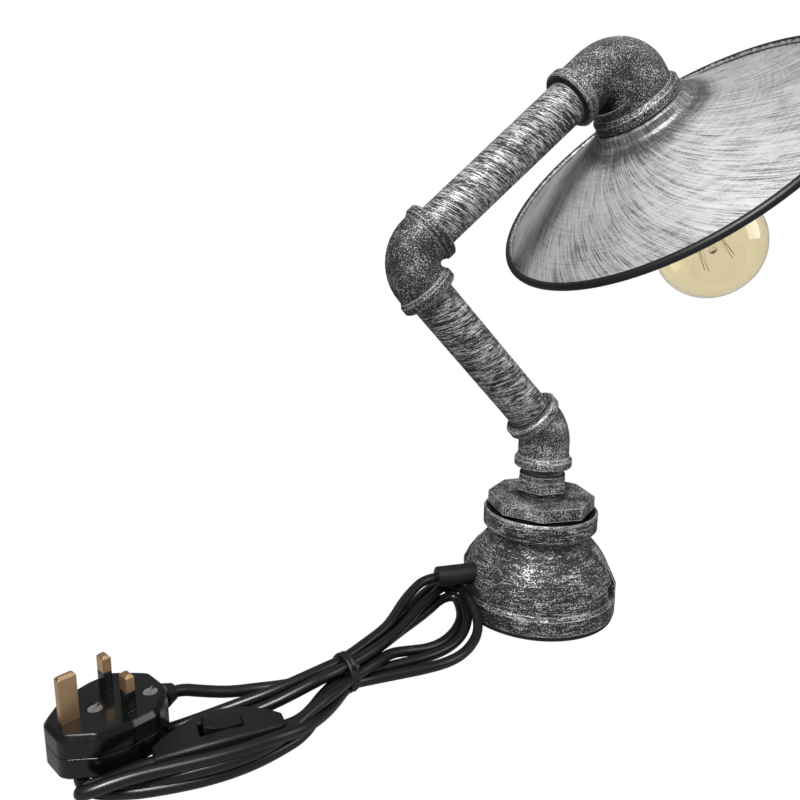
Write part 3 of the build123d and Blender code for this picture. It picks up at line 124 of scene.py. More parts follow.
class Graph:
    """A material's node tree, built one node at a time."""

    def __init__(self, name: str) -> None:
        """Start an empty material.

        Args:
            name: the material's name.
        """
        self.material = bpy.data.materials.new(name)
        self.material.use_nodes = True
        self.tree = self.material.node_tree
        self.tree.nodes.clear()

    def add(self, kind: str, settings: dict | None = None, inputs: dict | None = None):
        """Add a node with its settings and links.

        Args:
            kind: node type, without the ShaderNode prefix.
            settings: attributes to set on the node.
            inputs: socket name or index to a constant or another node's output.

        Returns:
            The new node.
        """
        node = self.tree.nodes.new("ShaderNode" + kind)
        for key, value in (settings or {}).items():
            setattr(node, key, value)
        for key, value in (inputs or {}).items():
            if isinstance(value, bpy.types.NodeSocket):
                self.tree.links.new(value, node.inputs[key])
            else:
                node.inputs[key].default_value = value
        return node

    def math(self, operation: str, first, second=0.0, clamp: bool = False):
        """Add a math node.

        Args:
            operation: Blender's name for it.
            first: first operand, constant or socket.
            second: second operand, constant or socket.
            clamp: keep the result between 0 and 1.

        Returns:
            The result's socket.
        """
        settings = {"operation": operation, "use_clamp": clamp}
        return self.add("Math", settings, {0: first, 1: second}).outputs[0]

    def vector(self, operation: str, first, second=(0.0, 0.0, 0.0)):
        """Add a vector math node.

        Args:
            operation: Blender's name for it.
            first: first vector, constant or socket.
            second: second vector, constant or socket.

        Returns:
            The result's socket.
        """
        return self.add("VectorMath", {"operation": operation}, {0: first, 1: second}).outputs[0]

    def noise(self, vector, scale: float, detail: float = 3.0, roughness: float = 0.55,
              distortion: float = 0.0):
        """Add a noise texture.

        Args:
            vector: coordinates.
            scale: cells per unit of the coordinates.
            detail: octaves.
            roughness: share of each finer octave.
            distortion: how far the cells are dragged.

        Returns:
            The factor's socket.
        """
        node = self.add("TexNoise", {"noise_dimensions": "3D"}, {
            "Vector": vector, "Scale": scale, "Detail": detail, "Roughness": roughness,
            "Distortion": distortion})
        return node.outputs["Fac"]

    def remap(self, value, low: float, high: float, new_low: float = 0.0, new_high: float = 1.0,
              smooth: bool = False):
        """Remap a value, clamped at both ends.

        Args:
            value: socket to remap.
            low: input value that gives new_low.
            high: input value that gives new_high.
            new_low: result at low.
            new_high: result at high.
            smooth: ease in and out.

        Returns:
            The result's socket.
        """
        kind = "SMOOTHSTEP" if smooth else "LINEAR"
        node = self.add("MapRange", {"interpolation_type": kind, "clamp": True}, {
            "Value": value, "From Min": low, "From Max": high, "To Min": new_low, "To Max": new_high})
        return node.outputs["Result"]

    def mix(self, factor, first, second):
        """Mix two colours.

        Args:
            factor: socket or constant.
            first: colour at 0.
            second: colour at 1.

        Returns:
            The result's socket.
        """
        node = self.add("Mix", {"data_type": "RGBA"})
        for index, value in ((0, factor), (6, first), (7, second)):
            if isinstance(value, bpy.types.NodeSocket):
                self.tree.links.new(value, node.inputs[index])
            else:
                node.inputs[index].default_value = value
        return node.outputs[2]

    def object_coords(self):
        """Object coordinates, which are the row frame for every piece of the lamp.

        Returns:
            The coordinates' socket.
        """
        return self.add("TexCoord").outputs["Object"]

    def axis_coords(self, axis: Axis):
        """Coordinates in the frame of an axis, in metres.

        Args:
            axis: which line of the lamp.

        Returns:
            The coordinates' socket.
        """
        matrix = axis_matrix(axis)
        node = self.add("Mapping", {"vector_type": "TEXTURE"}, {
            "Vector": self.object_coords(), "Location": matrix.to_translation(),
            "Rotation": matrix.to_euler()})
        return node.outputs[0]

    def stretch(self, vector, scale: tuple[float, float, float]):
        """Scale coordinates.

        Args:
            vector: coordinates.
            scale: factor along each axis.

        Returns:
            The result's socket.
        """
        return self.vector("MULTIPLY", vector, scale)

    def edge_mask(self, radius: float):
        """How near a point is to a sharp edge.

        Args:
            radius: reach in metres.

        Returns:
            A socket from 0 on a face to about 1 on an edge.
        """
        bevel = self.add("Bevel", {"samples": 4}, {"Radius": radius}).outputs[0]
        normal = self.add("NewGeometry").outputs["Normal"]
        dot = self.add("VectorMath", {"operation": "DOT_PRODUCT"}, {0: bevel, 1: normal}).outputs["Value"]
        return self.remap(dot, 0.985, 0.80)

    def hollow_and_shade_mask(self, reach: float):
        """How shut in a point is, for painted shade in hollows, corners and joints, which partly stands for
        the unbrushed black there.

        Args:
            reach: distance in metres that counts.

        Returns:
            A socket from 0 in the open to 1 in a corner.
        """
        occlusion = self.add("AmbientOcclusion", {"samples": 6}, {"Distance": reach}).outputs["AO"]
        return self.remap(occlusion, 0.75, 0.25)

    def finish(self, **inputs) -> bpy.types.Material:
        """Close the tree with a principled surface.

        Args:
            inputs: principled sockets by name, with underscores for spaces.

        Returns:
            The material.
        """
        named = {key.replace("_", " "): value for key, value in inputs.items()}
        surface = self.add("BsdfPrincipled", None, named)
        self.add("OutputMaterial", None, {"Surface": surface.outputs[0]})
        return self.material


@dataclass(frozen=True)
class IronFinish:
    """Black iron under dry-brushed silver: dark pits, pale high spots and edges, and hollows darkened by
    painted shade that partly stands for the unbrushed black there.

    The grain and the reaches are in millimetres, pit_cells and patch_cells in cells per metre.
    """

    name: str
    axis: Axis
    along: float
    across: float
    cover: float = 0.44
    slant: float = 0.0
    streak: float = 0.0
    dark: str = "#0a0a0a"
    light: str = "#cbcccd"
    patch: float = 0.14
    contrast: float = 0.05
    edge: float = 0.9
    hollow_and_shade_weight: float = 1.0
    roughness: float = 0.5
    metallic: float = 0.45
    bump: float = 0.0006
    streak_across: float = 7.0
    streak_along: float = 1.6
    pit_cells: float = 1400.0
    patch_cells: tuple[float, float, float] = (70.0, 70.0, 90.0)
    edge_reach: float = 1.1
    hollow_and_shade_reach: float = 8.0


def iron_material(spec: IronFinish) -> bpy.types.Material:
    """Dry-brushed iron whose speckle is drawn out round the piece's axis.

    Args:
        spec: the finish; along and across are the grain in millimetres along and round the axis.

    Returns:
        The material.
    """
    graph = Graph(spec.name)
    local = graph.axis_coords(spec.axis)
    parts = graph.add("SeparateXYZ", None, {0: local})
    sheared = graph.math("ADD", parts.outputs[2], graph.math("MULTIPLY", parts.outputs[1], spec.slant))
    drawn = graph.add("CombineXYZ", None, {
        0: parts.outputs[0], 1: parts.outputs[1], 2: sheared}).outputs[0]
    across, along = PER_METRE / spec.across, PER_METRE / spec.along
    fine = graph.noise(graph.stretch(drawn, (across, across, along)), 1.0, 2.5, 0.62, 0.25)
    pits = graph.noise(graph.stretch(local, (spec.pit_cells,) * 3), 1.0, 2.0, 0.6)
    patch = graph.noise(graph.stretch(local, spec.patch_cells), 1.0, 2.0, 0.5, 0.6)
    long_across = PER_METRE / (spec.across * spec.streak_across)
    long_along = PER_METRE / (spec.along * spec.streak_along)
    streaks = graph.noise(graph.stretch(drawn, (long_across, long_across, long_along)), 1.0, 3.0, 0.6)
    fine = graph.math("ADD", graph.math("MULTIPLY", fine, 1.0 - spec.streak), graph.math(
        "MULTIPLY", streaks, spec.streak))
    level = graph.math("ADD", graph.math("MULTIPLY", fine, 0.78), graph.math("MULTIPLY", pits, 0.22))
    level = graph.math("ADD", level, graph.math("MULTIPLY", graph.math("SUBTRACT", patch, 0.5), spec.patch))
    edges = graph.edge_mask(spec.edge_reach * MM)
    level = graph.math("ADD", level, graph.math("MULTIPLY", edges, spec.edge * 0.3))
    # Painted shade: ambient occlusion darkens hollows and joints, partly standing for the finish's unbrushed
    # black
    hollow_and_shade = graph.hollow_and_shade_mask(spec.hollow_and_shade_reach * MM)
    level = graph.math("SUBTRACT", level, graph.math("MULTIPLY", hollow_and_shade, spec.hollow_and_shade_weight * 0.3))
    middle = 1.0 - spec.cover
    silver = graph.remap(level, middle - spec.contrast, middle + spec.contrast, smooth=True)
    colour = graph.mix(silver, linear(spec.dark), linear(spec.light))
    bump = graph.add("Bump", None, {"Height": level, "Strength": 0.5, "Distance": spec.bump})
    return graph.finish(
        Base_Color=colour, Metallic=graph.math("MULTIPLY", silver, spec.metallic),
        Roughness=graph.remap(silver, 0.0, 1.0, spec.roughness + 0.12, spec.roughness),
        Normal=bump.outputs[0])


@dataclass(frozen=True)
class ShadeFinish:
    """Sheet steel brushed with silver over black: long swirled strokes, a bare black rim, painted shade in
    the fillet under the collar and a painted highlight on the collar that is partly brighter silver.

    Radii are in millimetres from the head's axis and the swirl in radians per metre. What ends
    in round is in cells per radian, and the other grain is in cells per metre.
    """

    name: str = "Dry-brushed sheet steel"
    swirl: float = 9.0
    strokes_round: float = 85.0
    strokes_out: float = 60.0
    rings_round: float = 3.0
    rings_out: float = 700.0
    grit: float = 1500.0
    patch: float = 26.0
    fillet_painted_shade_start: float = 36.0
    fillet_painted_shade_end: float = 47.0
    collar_silver_and_highlight_start: float = 32.0
    collar_silver_and_highlight_end: float = 34.5
    rim_start: float = 113.0
    rim_end: float = 114.2
    dark: str = "#4a4a4a"
    light: str = "#c6c7c6"
    bare: str = "#0d0d0d"


def shade_material(spec: ShadeFinish) -> bpy.types.Material:
    """Black sheet under swirling silver strokes, with a bare black rim, painted shade in the fillet under the
    collar and a painted highlight, partly brighter silver, on the collar.

    Args:
        spec: the finish.

    Returns:
        The material.
    """
    graph = Graph(spec.name)
    local = graph.axis_coords(Axis.HEAD)
    parts = graph.add("SeparateXYZ", None, {0: local})
    flat = graph.add("CombineXYZ", None, {0: parts.outputs[0], 1: parts.outputs[1]}).outputs[0]
    radius = graph.add("VectorMath", {"operation": "LENGTH"}, {0: flat}).outputs["Value"]
    heading = graph.vector("NORMALIZE", flat)
    swirled = graph.add("VectorRotate", {"rotation_type": "Z_AXIS"}, {
        "Vector": heading, "Angle": graph.math("MULTIPLY", radius, spec.swirl)}).outputs[0]
    outward = graph.add("CombineXYZ", None, {2: graph.math("MULTIPLY", radius, spec.strokes_out)}).outputs[0]
    strokes = graph.vector("ADD", graph.stretch(
        swirled, (spec.strokes_round, spec.strokes_round, 0.0)), outward)
    ringed = graph.add("CombineXYZ", None, {2: graph.math("MULTIPLY", radius, spec.rings_out)}).outputs[0]
    rings = graph.vector("ADD", graph.stretch(heading, (spec.rings_round, spec.rings_round, 0.0)), ringed)
    long_strokes = graph.noise(strokes, 1.0, 4.0, 0.66, 0.5)
    cross = graph.noise(rings, 1.0, 3.0, 0.6, 0.4)
    grit = graph.noise(local, spec.grit, 2.0, 0.6)
    patch = graph.noise(local, spec.patch, 2.0, 0.5, 0.8)
    level = graph.math("ADD", graph.math("MULTIPLY", long_strokes, 0.62), graph.math("MULTIPLY", cross, 0.16))
    level = graph.math("ADD", level, graph.math("MULTIPLY", grit, 0.22))
    level = graph.math("ADD", level, graph.math("MULTIPLY", graph.math("SUBTRACT", patch, 0.5), 0.16))
    # Painted shade darkens the fillet under the collar; a painted highlight, partly brighter silver, lightens
    # the collar
    fillet_painted_shade = graph.remap(radius, spec.fillet_painted_shade_start * MM, spec.fillet_painted_shade_end * MM, 0.14, 0.0)
    collar_silver_and_highlight = graph.remap(radius, spec.collar_silver_and_highlight_start * MM, spec.collar_silver_and_highlight_end * MM, 0.05, 0.0)
    level = graph.math("ADD", graph.math("SUBTRACT", level, fillet_painted_shade), collar_silver_and_highlight)
    silver = graph.remap(level, 0.34, 0.57, smooth=True)
    colour = graph.mix(silver, linear(spec.dark), linear(spec.light))
    wear = graph.noise(local, 500.0, 3.0, 0.65)
    band = graph.math("ADD", radius, graph.math("MULTIPLY", graph.math("SUBTRACT", wear, 0.5), 0.004))
    rim = graph.remap(band, spec.rim_start * MM, spec.rim_end * MM)
    colour = graph.mix(rim, colour, linear(spec.bare))
    bump = graph.add("Bump", None, {"Height": level, "Strength": 0.35, "Distance": 0.0004})
    return graph.finish(
        Base_Color=colour, Metallic=graph.math("MULTIPLY", graph.math("SUBTRACT", 1.0, rim), 0.5),
        Roughness=0.44, Normal=bump.outputs[0])


@dataclass(frozen=True)
class PlainFinish:
    """A plain surface with a little grain."""

    name: str
    colour: str
    roughness: float
    metallic: float = 0.0
    grain: float = 0.0
    grain_size: float = 0.5
    round_edge: float = 0.0003
    second: str = ""


def plain_material(spec: PlainFinish) -> bpy.types.Material:
    """Plain plastic, rubber, ceramic or metal.

    Args:
        spec: the finish.

    Returns:
        The material.
    """
    graph = Graph(spec.name)
    coords = graph.object_coords()
    noise = graph.noise(coords, PER_METRE / spec.grain_size, 3.0, 0.6)
    broad = graph.noise(coords, 60.0, 2.0, 0.5)
    shift = graph.remap(broad, 0.35, 0.65)
    colour = graph.mix(shift, linear(spec.colour), linear(spec.second or spec.colour))
    smooth = graph.add("Bevel", {"samples": 4}, {"Radius": spec.round_edge}).outputs[0]
    bump = graph.add("Bump", None, {
        "Height": noise, "Strength": spec.grain, "Distance": 0.0002, "Normal": smooth})
    return graph.finish(
        Base_Color=colour, Metallic=spec.metallic,
        Roughness=graph.remap(noise, 0.3, 0.7, spec.roughness - 0.04, spec.roughness + 0.04),
        Normal=bump.outputs[0])


def glass_material(name: str, colour: str, rough: float = 0.0) -> bpy.types.Material:
    """Blown glass, slightly uneven.

    Args:
        name: the material's name.
        colour: tint as sRGB hex.
        rough: surface roughness.

    Returns:
        The material.
    """
    graph = Graph(name)
    waves = graph.noise(graph.object_coords(), 45.0, 2.0, 0.5)
    bump = graph.add("Bump", None, {"Height": waves, "Strength": 0.08, "Distance": 0.001})
    return graph.finish(
        Base_Color=linear(colour), Roughness=rough, IOR=1.45, Transmission_Weight=1.0,
        Specular_IOR_Level=0.6, Normal=bump.outputs[0])


def studio_floor(graph_name: str) -> bpy.types.Material:
    """White ground that the camera sees as clear background.

    Args:
        graph_name: the material's name.

    Returns:
        The material.
    """
    graph = Graph(graph_name)
    path = graph.add("LightPath")
    ray = graph.math("MAXIMUM", path.outputs["Is Camera Ray"], path.outputs["Is Transmission Ray"])
    grain = graph.noise(graph.object_coords(), 40.0, 2.0, 0.5)
    paint = graph.add("BsdfDiffuse", None, {
        "Color": graph.mix(grain, linear("#8c8c8c"), linear("#949494"))}).outputs[0]
    bright = graph.add("Emission", None, {"Color": linear("#ffffff"), "Strength": 1.0}).outputs[0]
    both = graph.add("MixShader", None, {0: ray, 1: paint, 2: bright}).outputs[0]
    graph.add("OutputMaterial", None, {"Surface": both})
    return graph.material


class Palette:
    """Every material of the lamp, made once."""

    def __init__(self) -> None:
        """Build the materials."""
        self.base = iron_material(IronFinish(
            "Dry-brushed cast iron, foot", Axis.BASE, 0.5, 1.1, streak=0.4))
        self.lower_elbow = iron_material(IronFinish(
            "Dry-brushed cast iron, lower elbow", Axis.BASE, 0.6, 0.8, patch=0.24, contrast=0.065))
        self.knee = iron_material(IronFinish(
            "Dry-brushed cast iron, middle elbow", Axis.LOWER, 0.6, 0.75, cover=0.41, patch=0.15,
            contrast=0.065))
        self.head = iron_material(IronFinish(
            "Dry-brushed cast iron, head elbow", Axis.HEAD, 0.6, 0.75, cover=0.42, patch=0.2,
            contrast=0.065))
        self.lower_pipe = self.pipe("Brush-streaked steel pipe, lower", Axis.LOWER)
        self.upper_pipe = self.pipe("Brush-streaked steel pipe, upper", Axis.UPPER)
        self.shade = shade_material(ShadeFinish())
        self.steel = plain_material(PlainFinish("Machined steel", "#8b8c8e", 0.32, 1.0, 0.2))
        self.rubber = plain_material(PlainFinish("Black rubber", "#080808", 0.75, 0.0, 0.4))
        self.brass = plain_material(PlainFinish(
            "Worn brass", "#d9b78f", 0.38, 1.0, 0.25, 0.6, 0.0003, "#c99f78"))
        self.bakelite = plain_material(PlainFinish("Black bakelite", "#101010", 0.3))
        self.ceramic = plain_material(PlainFinish("Glazed ceramic", "#d9d5cc", 0.4))
        self.amber = glass_material("Amber blown glass", "#ede5cd")
        self.clear = glass_material("Clear flint glass", "#f4f2ec")
        self.black_glass = plain_material(PlainFinish("Black vitrite glass", "#120f14", 0.15))
        self.wire = plain_material(PlainFinish("Dark filament wire", "#4a3a24", 0.5, 0.6))
        self.solder = plain_material(PlainFinish("Dull solder", "#9a9a9c", 0.45, 1.0))
        self.cord = plain_material(PlainFinish(
            "Dark green-black cord sheath", "#0a0f0e", 0.33, 0.0, 0.12, 0.5, 0.0001, "#0b0f0e"))
        self.nylon = plain_material(PlainFinish("Black nylon", "#090a0a", 0.5, 0.0, 0.15))
        self.switch = plain_material(PlainFinish(
            "Fine-grained black plastic", "#090d0c", 0.46, 0.0, 0.5, 0.35, 0.001))
        self.gloss = plain_material(PlainFinish(
            "Smooth black plastic", "#060a09", 0.17, 0.0, 0.05, 2.0, 0.0012))
        self.plated = plain_material(PlainFinish("Plated screw steel", "#e2e4e1", 0.2, 1.0))

    @staticmethod
    def pipe(name: str, axis: Axis) -> bpy.types.Material:
        """Steel pipe with strokes drawn slantwise round it.

        Args:
            name: the material's name.
            axis: the pipe's line.

        Returns:
            The material.
        """
        return iron_material(IronFinish(
            name, axis, 0.4, 5.0, cover=0.47, slant=0.35, streak=0.4, hollow_and_shade_weight=0.5))


NODE_FINISH: dict[str, str] = {
    "base_socket": "base", "octagon_bush": "lower_elbow", "hex_nipple": "lower_elbow", "foot_pad": "rubber",
    "base_plate": "steel", "lower_elbow": "lower_elbow", "middle_elbow": "knee", "head_elbow": "head",
    "lower_pipe": "lower_pipe", "upper_pipe": "upper_pipe", "outlet_bush": "steel", "shade": "shade",
    "rim_wire": "steel", "holder_stem": "brass", "stem_nut": "brass", "holder_cap": "bakelite",
    "holder_body": "bakelite", "holder_insert": "ceramic", "screw_shell": "brass", "centre_contact": "brass",
    "bulb_tip": "solder", "cap_insulator": "black_glass", "bulb_cap": "brass", "bulb_glass": "amber",
    "bulb_stem": "clear", "filament": "wire", "flex_base": "cord", "flex_lower": "cord", "flex_upper": "cord",
    "flex_head": "cord", "cord_gland": "nylon", "gland_nut": "nylon", "switch_base": "switch",
    "switch_cover": "switch", "switch_rocker": "gloss", "rocker_cradle": "switch",
    "switch_contact_a": "brass", "switch_contact_b": "brass",
    "plug_cover": "gloss", "plug_base": "gloss", "earth_pin": "brass",
    "live_pin": "brass", "neutral_pin": "brass", "live_sleeve": "gloss", "neutral_sleeve": "gloss",
    "fuse": "ceramic", "plug_screw": "plated", "clamp_screw": "plated", "plug_boot": "nylon",
    "cord_lead": "cord", "cord_to_plug": "cord", "cord_to_switch": "cord", "cord_from_switch": "cord",
    "cord_hank": "cord", "cord_tie": "nylon",
}


def paint_nodes(palette: Palette) -> None:
    """Give every CAD node its material.

    Args:
        palette: the lamp's materials.
    """
    for name, node in frame["nodes"].items():
        material = getattr(palette, NODE_FINISH[name])
        node.data.materials.clear()
        node.data.materials.append(material)
        LOG.info("%s is %s", name, material.name)


@dataclass
class Cord:
    """The free cord, laid through its control points."""

    points: tuple[tuple[float, float, float], ...]
    radius: float = 3.0
    name: str = "cord"
    body: str = "foot"
    slot: str = "cord_pvc"

    def build(self, material: bpy.types.Material) -> bpy.types.Object:
        """Lay the cord as one open curve.

        Args:
            material: its finish.

        Returns:
            The curve object.
        """
        curve = bpy.data.curves.new(self.name, "CURVE")
        curve.dimensions = "3D"
        # The points' radius carries the thickness, so that the curve's box is the cord's own
        curve.bevel_depth = 1.0
        curve.bevel_resolution = 5
        curve.resolution_u = 10
        curve.use_fill_caps = True
        spline = curve.splines.new("NURBS")
        spline.points.add(len(self.points) - 1)
        for point, place in zip(spline.points, self.points):
            point.co = (place[0] * MM, place[1] * MM, place[2] * MM, 1.0)
            point.radius = self.radius * MM
        spline.order_u = 3
        spline.use_endpoint_u = True
        curve.materials.append(material)
        obj = bpy.data.objects.new(self.name, curve)
        bpy.context.scene.collection.objects.link(obj)
        return obj

    def declare(self, obj: bpy.types.Object) -> None:
        """Ride the cord on its body, hide its solids and log its length.

        Args:
            obj: the curve object.
        """
        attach(obj, self.body)
        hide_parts(*CORD_SOLIDS)
        length = curve_length(obj)
        LOG.info("%s is %.3f m long", self.name, length)


def curve_length(obj: bpy.types.Object) -> float:
    """Length of a one-spline curve's centre line.

    Args:
        obj: the curve object.

    Returns:
        Length in metres.
    """
    depth = obj.data.bevel_depth
    obj.data.bevel_depth = 0.0
    graph = bpy.context.evaluated_depsgraph_get()
    mesh = bpy.data.meshes.new_from_object(obj.evaluated_get(graph))
    obj.data.bevel_depth = depth
    total = sum((mesh.vertices[edge.vertices[0]].co - mesh.vertices[edge.vertices[1]].co).length
                for edge in mesh.edges)
    bpy.data.meshes.remove(mesh)
    return total


# Control points of the cord's strands, in millimetres, each ending where the tie holds it
LEAD_IN = (
    (-71.45, 0.0, 26.7), (-80.5, -1.5, 26.5), (-89.5, -8.5, 24.5), (-98.5, -17.5, 22.5),
    (-107.0, -28.5, 20.0), (-115.5, -38.5, 18.0), (-130.5, -50.0, 17.0), (-145.5, -62.0, 16.5),
)
FLOOR_LOOP = (
    (-158.5, -68.0, 16.5), (-171.0, -72.0, 15.0), (-186.0, -75.0, 12.5), (-202.0, -75.5, 9.0),
    (-217.5, -76.0, 5.5), (-231.5, -77.0, 3.0), (-244.5, -80.0, 3.0), (-258.0, -84.0, 3.0),
    (-268.5, -90.0, 3.0), (-272.5, -98.0, 3.0), (-270.5, -106.0, 3.0), (-264.5, -112.5, 3.0),
    (-256.5, -115.0, 3.0), (-247.5, -117.0, 3.0), (-238.0, -117.6, 3.0), (-227.0, -117.6, 3.0),
    (-215.5, -116.8, 3.0), (-204.0, -114.8, 3.2), (-193.0, -111.5, 3.6), (-182.5, -106.5, 3.8),
    (-172.5, -100.0, 3.5), (-163.5, -86.5, 3.0), (-155.0, -72.5, 3.5), (-145.5, -62.0, 5.5),
)
INNER_LOOP = (
    (-131.5, -56.0, 3.0), (-115.0, -53.5, 3.0), (-97.5, -51.0, 3.0), (-84.0, -47.0, 3.0),
    (-73.0, -40.5, 3.0), (-64.0, -32.0, 4.0), (-57.0, -21.0, 6.0), (-54.5, -11.0, 8.5),
    (-54.5, -3.0, 10.0), (-60.0, 3.0, 10.5), (-69.0, -0.5, 10.5), (-78.0, -9.0, 10.0),
    (-90.0, -18.0, 9.0), (-104.5, -30.0, 9.5), (-123.0, -47.0, 10.5), (-144.5, -65.0, 11.0),
)
SWITCH_LOOP = (
    (-160.0, -80.5, 10.0), (-165.5, -88.0, 9.5), (-172.5, -94.5, 8.5), (-181.1, -97.6, 8.2),
    (-210.8, -102.3, 8.2), (-240.5, -107.0, 8.2), (-247.5, -109.0, 8.5), (-254.5, -112.5, 9.0),
    (-261.0, -115.5, 9.0), (-267.0, -115.5, 8.4), (-269.5, -119.0, 8.6), (-265.5, -121.0, 10.2),
    (-257.5, -120.6, 12.0), (-248.0, -119.8, 13.0), (-238.5, -119.0, 13.2), (-226.0, -118.4, 13.4),
    (-212.0, -117.6, 13.8), (-198.5, -115.6, 14.0), (-186.5, -112.2, 14.0),
    (-175.5, -107.0, 12.0), (-165.5, -98.0, 9.0), (-155.5, -85.0, 6.0), (-143.0, -67.5, 5.5),
)
TALL_LOOP = (
    (-130.5, -63.0, 3.0), (-115.5, -62.0, 3.0), (-99.5, -61.0, 3.0), (-87.0, -59.0, 3.0),
    (-77.5, -55.5, 3.0), (-70.0, -50.5, 3.0), (-63.0, -44.0, 3.5), (-57.5, -37.5, 5.0),
    (-54.0, -30.5, 8.0), (-53.0, -22.0, 12.0), (-53.5, -13.0, 15.0), (-53.5, -2.5, 16.5),
    (-58.5, 6.0, 17.0), (-67.5, 4.0, 16.5), (-75.0, -4.5, 16.5), (-87.5, -15.5, 16.0),
    (-102.5, -33.0, 15.0), (-121.5, -52.0, 16.0), (-143.0, -67.5, 16.5),
)
PLUG_LOOP = (
    (-158.5, -76.5, 17.5), (-172.0, -79.5, 14.0), (-186.5, -81.0, 9.5), (-203.5, -82.0, 6.0),
    (-219.5, -83.5, 3.5), (-233.5, -85.0, 3.0), (-246.5, -88.0, 3.0), (-256.0, -92.0, 3.0),
    (-261.0, -98.0, 3.0), (-260.0, -105.0, 3.5), (-254.0, -112.0, 3.0), (-246.0, -114.5, 3.0),
    (-237.5, -116.0, 6.0), (-227.0, -118.0, 8.5), (-212.5, -118.0, 9.5), (-199.0, -115.5, 10.0),
    (-189.0, -111.5, 10.5), (-180.0, -107.0, 12.0), (-169.5, -97.5, 13.5), (-155.5, -85.5, 13.5),
    (-142.0, -70.5, 11.0),
)
NEAR_LOOP = (
    (-127.5, -60.5, 10.5), (-115.5, -50.0, 9.0), (-103.5, -45.0, 5.5), (-91.0, -42.5, 3.5),
    (-80.0, -38.0, 3.0), (-69.5, -29.0, 3.0), (-61.0, -17.5, 3.0), (-56.0, -6.0, 3.0), (-54.5, 4.0, 5.5),
    (-57.5, 12.5, 10.0), (-65.0, 14.5, 14.0), (-71.5, 8.5, 15.5), (-80.0, 1.0, 15.5),
    (-91.0, -10.0, 14.5), (-105.0, -22.5, 13.0), (-125.0, -40.0, 12.0), (-146.5, -59.0, 11.0),
)
PLUG_END = (
    (-167.5, -67.5, 11.0), (-179.5, -67.0, 10.0), (-192.5, -66.0, 10.0), (-205.5, -67.0, 11.0),
    (-218.5, -66.5, 13.5), (-230.4, -67.5, 17.5), (-237.2, -71.8, 17.5),
)
CORD_ROUTE = (
    *LEAD_IN, *FLOOR_LOOP, *INNER_LOOP, *SWITCH_LOOP, *TALL_LOOP, *PLUG_LOOP, *NEAR_LOOP, *PLUG_END,
)

CORD_SOLIDS = ("cord_lead", "cord_hank", "cord_to_plug", "cord_to_switch", "cord_from_switch")


@dataclass
class Filament:
    """Thin wire in hairpins round the bulb's stem, in place of the plain solid."""

    radius: float = 0.16
    hairpins: int = 6
    span: float = 1.9
    hook_share: float = 0.45
    name: str = "filament_wire"

    def build(self, material: bpy.types.Material) -> bpy.types.Object:
        """Wind the wire within the reach of the solid that it stands for.

        Args:
            material: its finish.

        Returns:
            The curve object.
        """
        thickness = self.radius * MM
        to_axis = axis_matrix(Axis.HEAD).inverted()
        places = [to_axis @ vertex.co for vertex in frame["nodes"]["filament"].data.vertices]
        top = min(place.z for place in places) + thickness
        bottom = max(place.z for place in places) - thickness
        reach = max(math.hypot(place.x, place.y) for place in places) - thickness
        curve = bpy.data.curves.new(self.name, "CURVE")
        curve.dimensions = "3D"
        curve.bevel_depth = 1.0
        curve.bevel_resolution = 2
        spline = curve.splines.new("POLY")
        spline.points.add(2 * self.hairpins)
        for index, point in enumerate(spline.points):
            turn = math.pi * index / self.hairpins * self.span
            level, out = (top, self.hook_share * reach) if index % 2 == 0 else (bottom, reach)
            place = axis_matrix(Axis.HEAD) @ Vector((out * math.cos(turn), out * math.sin(turn), level))
            point.co = (*place, 1.0)
            point.radius = thickness
        curve.materials.append(material)
        wire = bpy.data.objects.new(self.name, curve)
        bpy.context.scene.collection.objects.link(wire)
        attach(wire, "bulb")
        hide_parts("filament")
        LOG.info("%s has %d hairpins", self.name, self.hairpins)
        return wire


@dataclass(frozen=True)
class StudioCamera:
    """Where the lamp is seen from."""

    place: tuple[float, float, float] = (-212.407, -403.063, 234.275)
    heading: float = 0.278
    pitch: float = 0.21
    roll: float = -0.012
    focal: float = 32.03

    def build(self) -> bpy.types.Object:
        """Add the camera and make it the scene's.

        Returns:
            The camera object.
        """
        forward = Vector((math.sin(self.heading) * math.cos(self.pitch),
                          math.cos(self.heading) * math.cos(self.pitch), -math.sin(self.pitch)))
        right = forward.cross(UP).normalized()
        upward = right.cross(forward)
        turn = Matrix.Rotation(self.roll, 3, forward)
        right, upward = turn @ right, turn @ upward
        matrix = Matrix((right, upward, -forward)).transposed().to_4x4()
        matrix.translation = Vector(self.place) * MM
        data = bpy.data.cameras.new("Camera")
        data.lens = self.focal
        data.sensor_width = 36.0
        data.clip_start = 0.01
        camera = bpy.data.objects.new("Camera", data)
        camera.matrix_world = matrix
        bpy.context.scene.collection.objects.link(camera)
        bpy.context.scene.camera = camera
        return camera


@dataclass(frozen=True)
class SoftBox:
    """A square studio light."""

    name: str
    place: tuple[float, float, float]
    aim: tuple[float, float, float]
    size: float
    power: float

    def build(self) -> None:
        """Add the light."""
        data = bpy.data.lights.new(self.name, "AREA")
        data.shape = "SQUARE"
        data.size = self.size
        data.energy = self.power
        light = bpy.data.objects.new(self.name, data)
        light.location = self.place
        direction = Vector(self.aim) - Vector(self.place)
        light.rotation_euler = direction.to_track_quat("-Z", "Y").to_euler()
        bpy.context.scene.collection.objects.link(light)


LAMP_MIDDLE = (0.0, 0.0, 0.2)
STUDIO_LIGHTS = (
    SoftBox("Key light", (-0.7, -0.9, 1.3), LAMP_MIDDLE, 0.45, 36.0),
    SoftBox("Fill light", (1.1, -0.6, 0.8), LAMP_MIDDLE, 0.8, 6.0),
)
SURROUND_BELOW = 0.06
SURROUND_ABOVE = 0.46
FLOOR_SIZE = 3.0
FLOOR_DROP = 0.0004


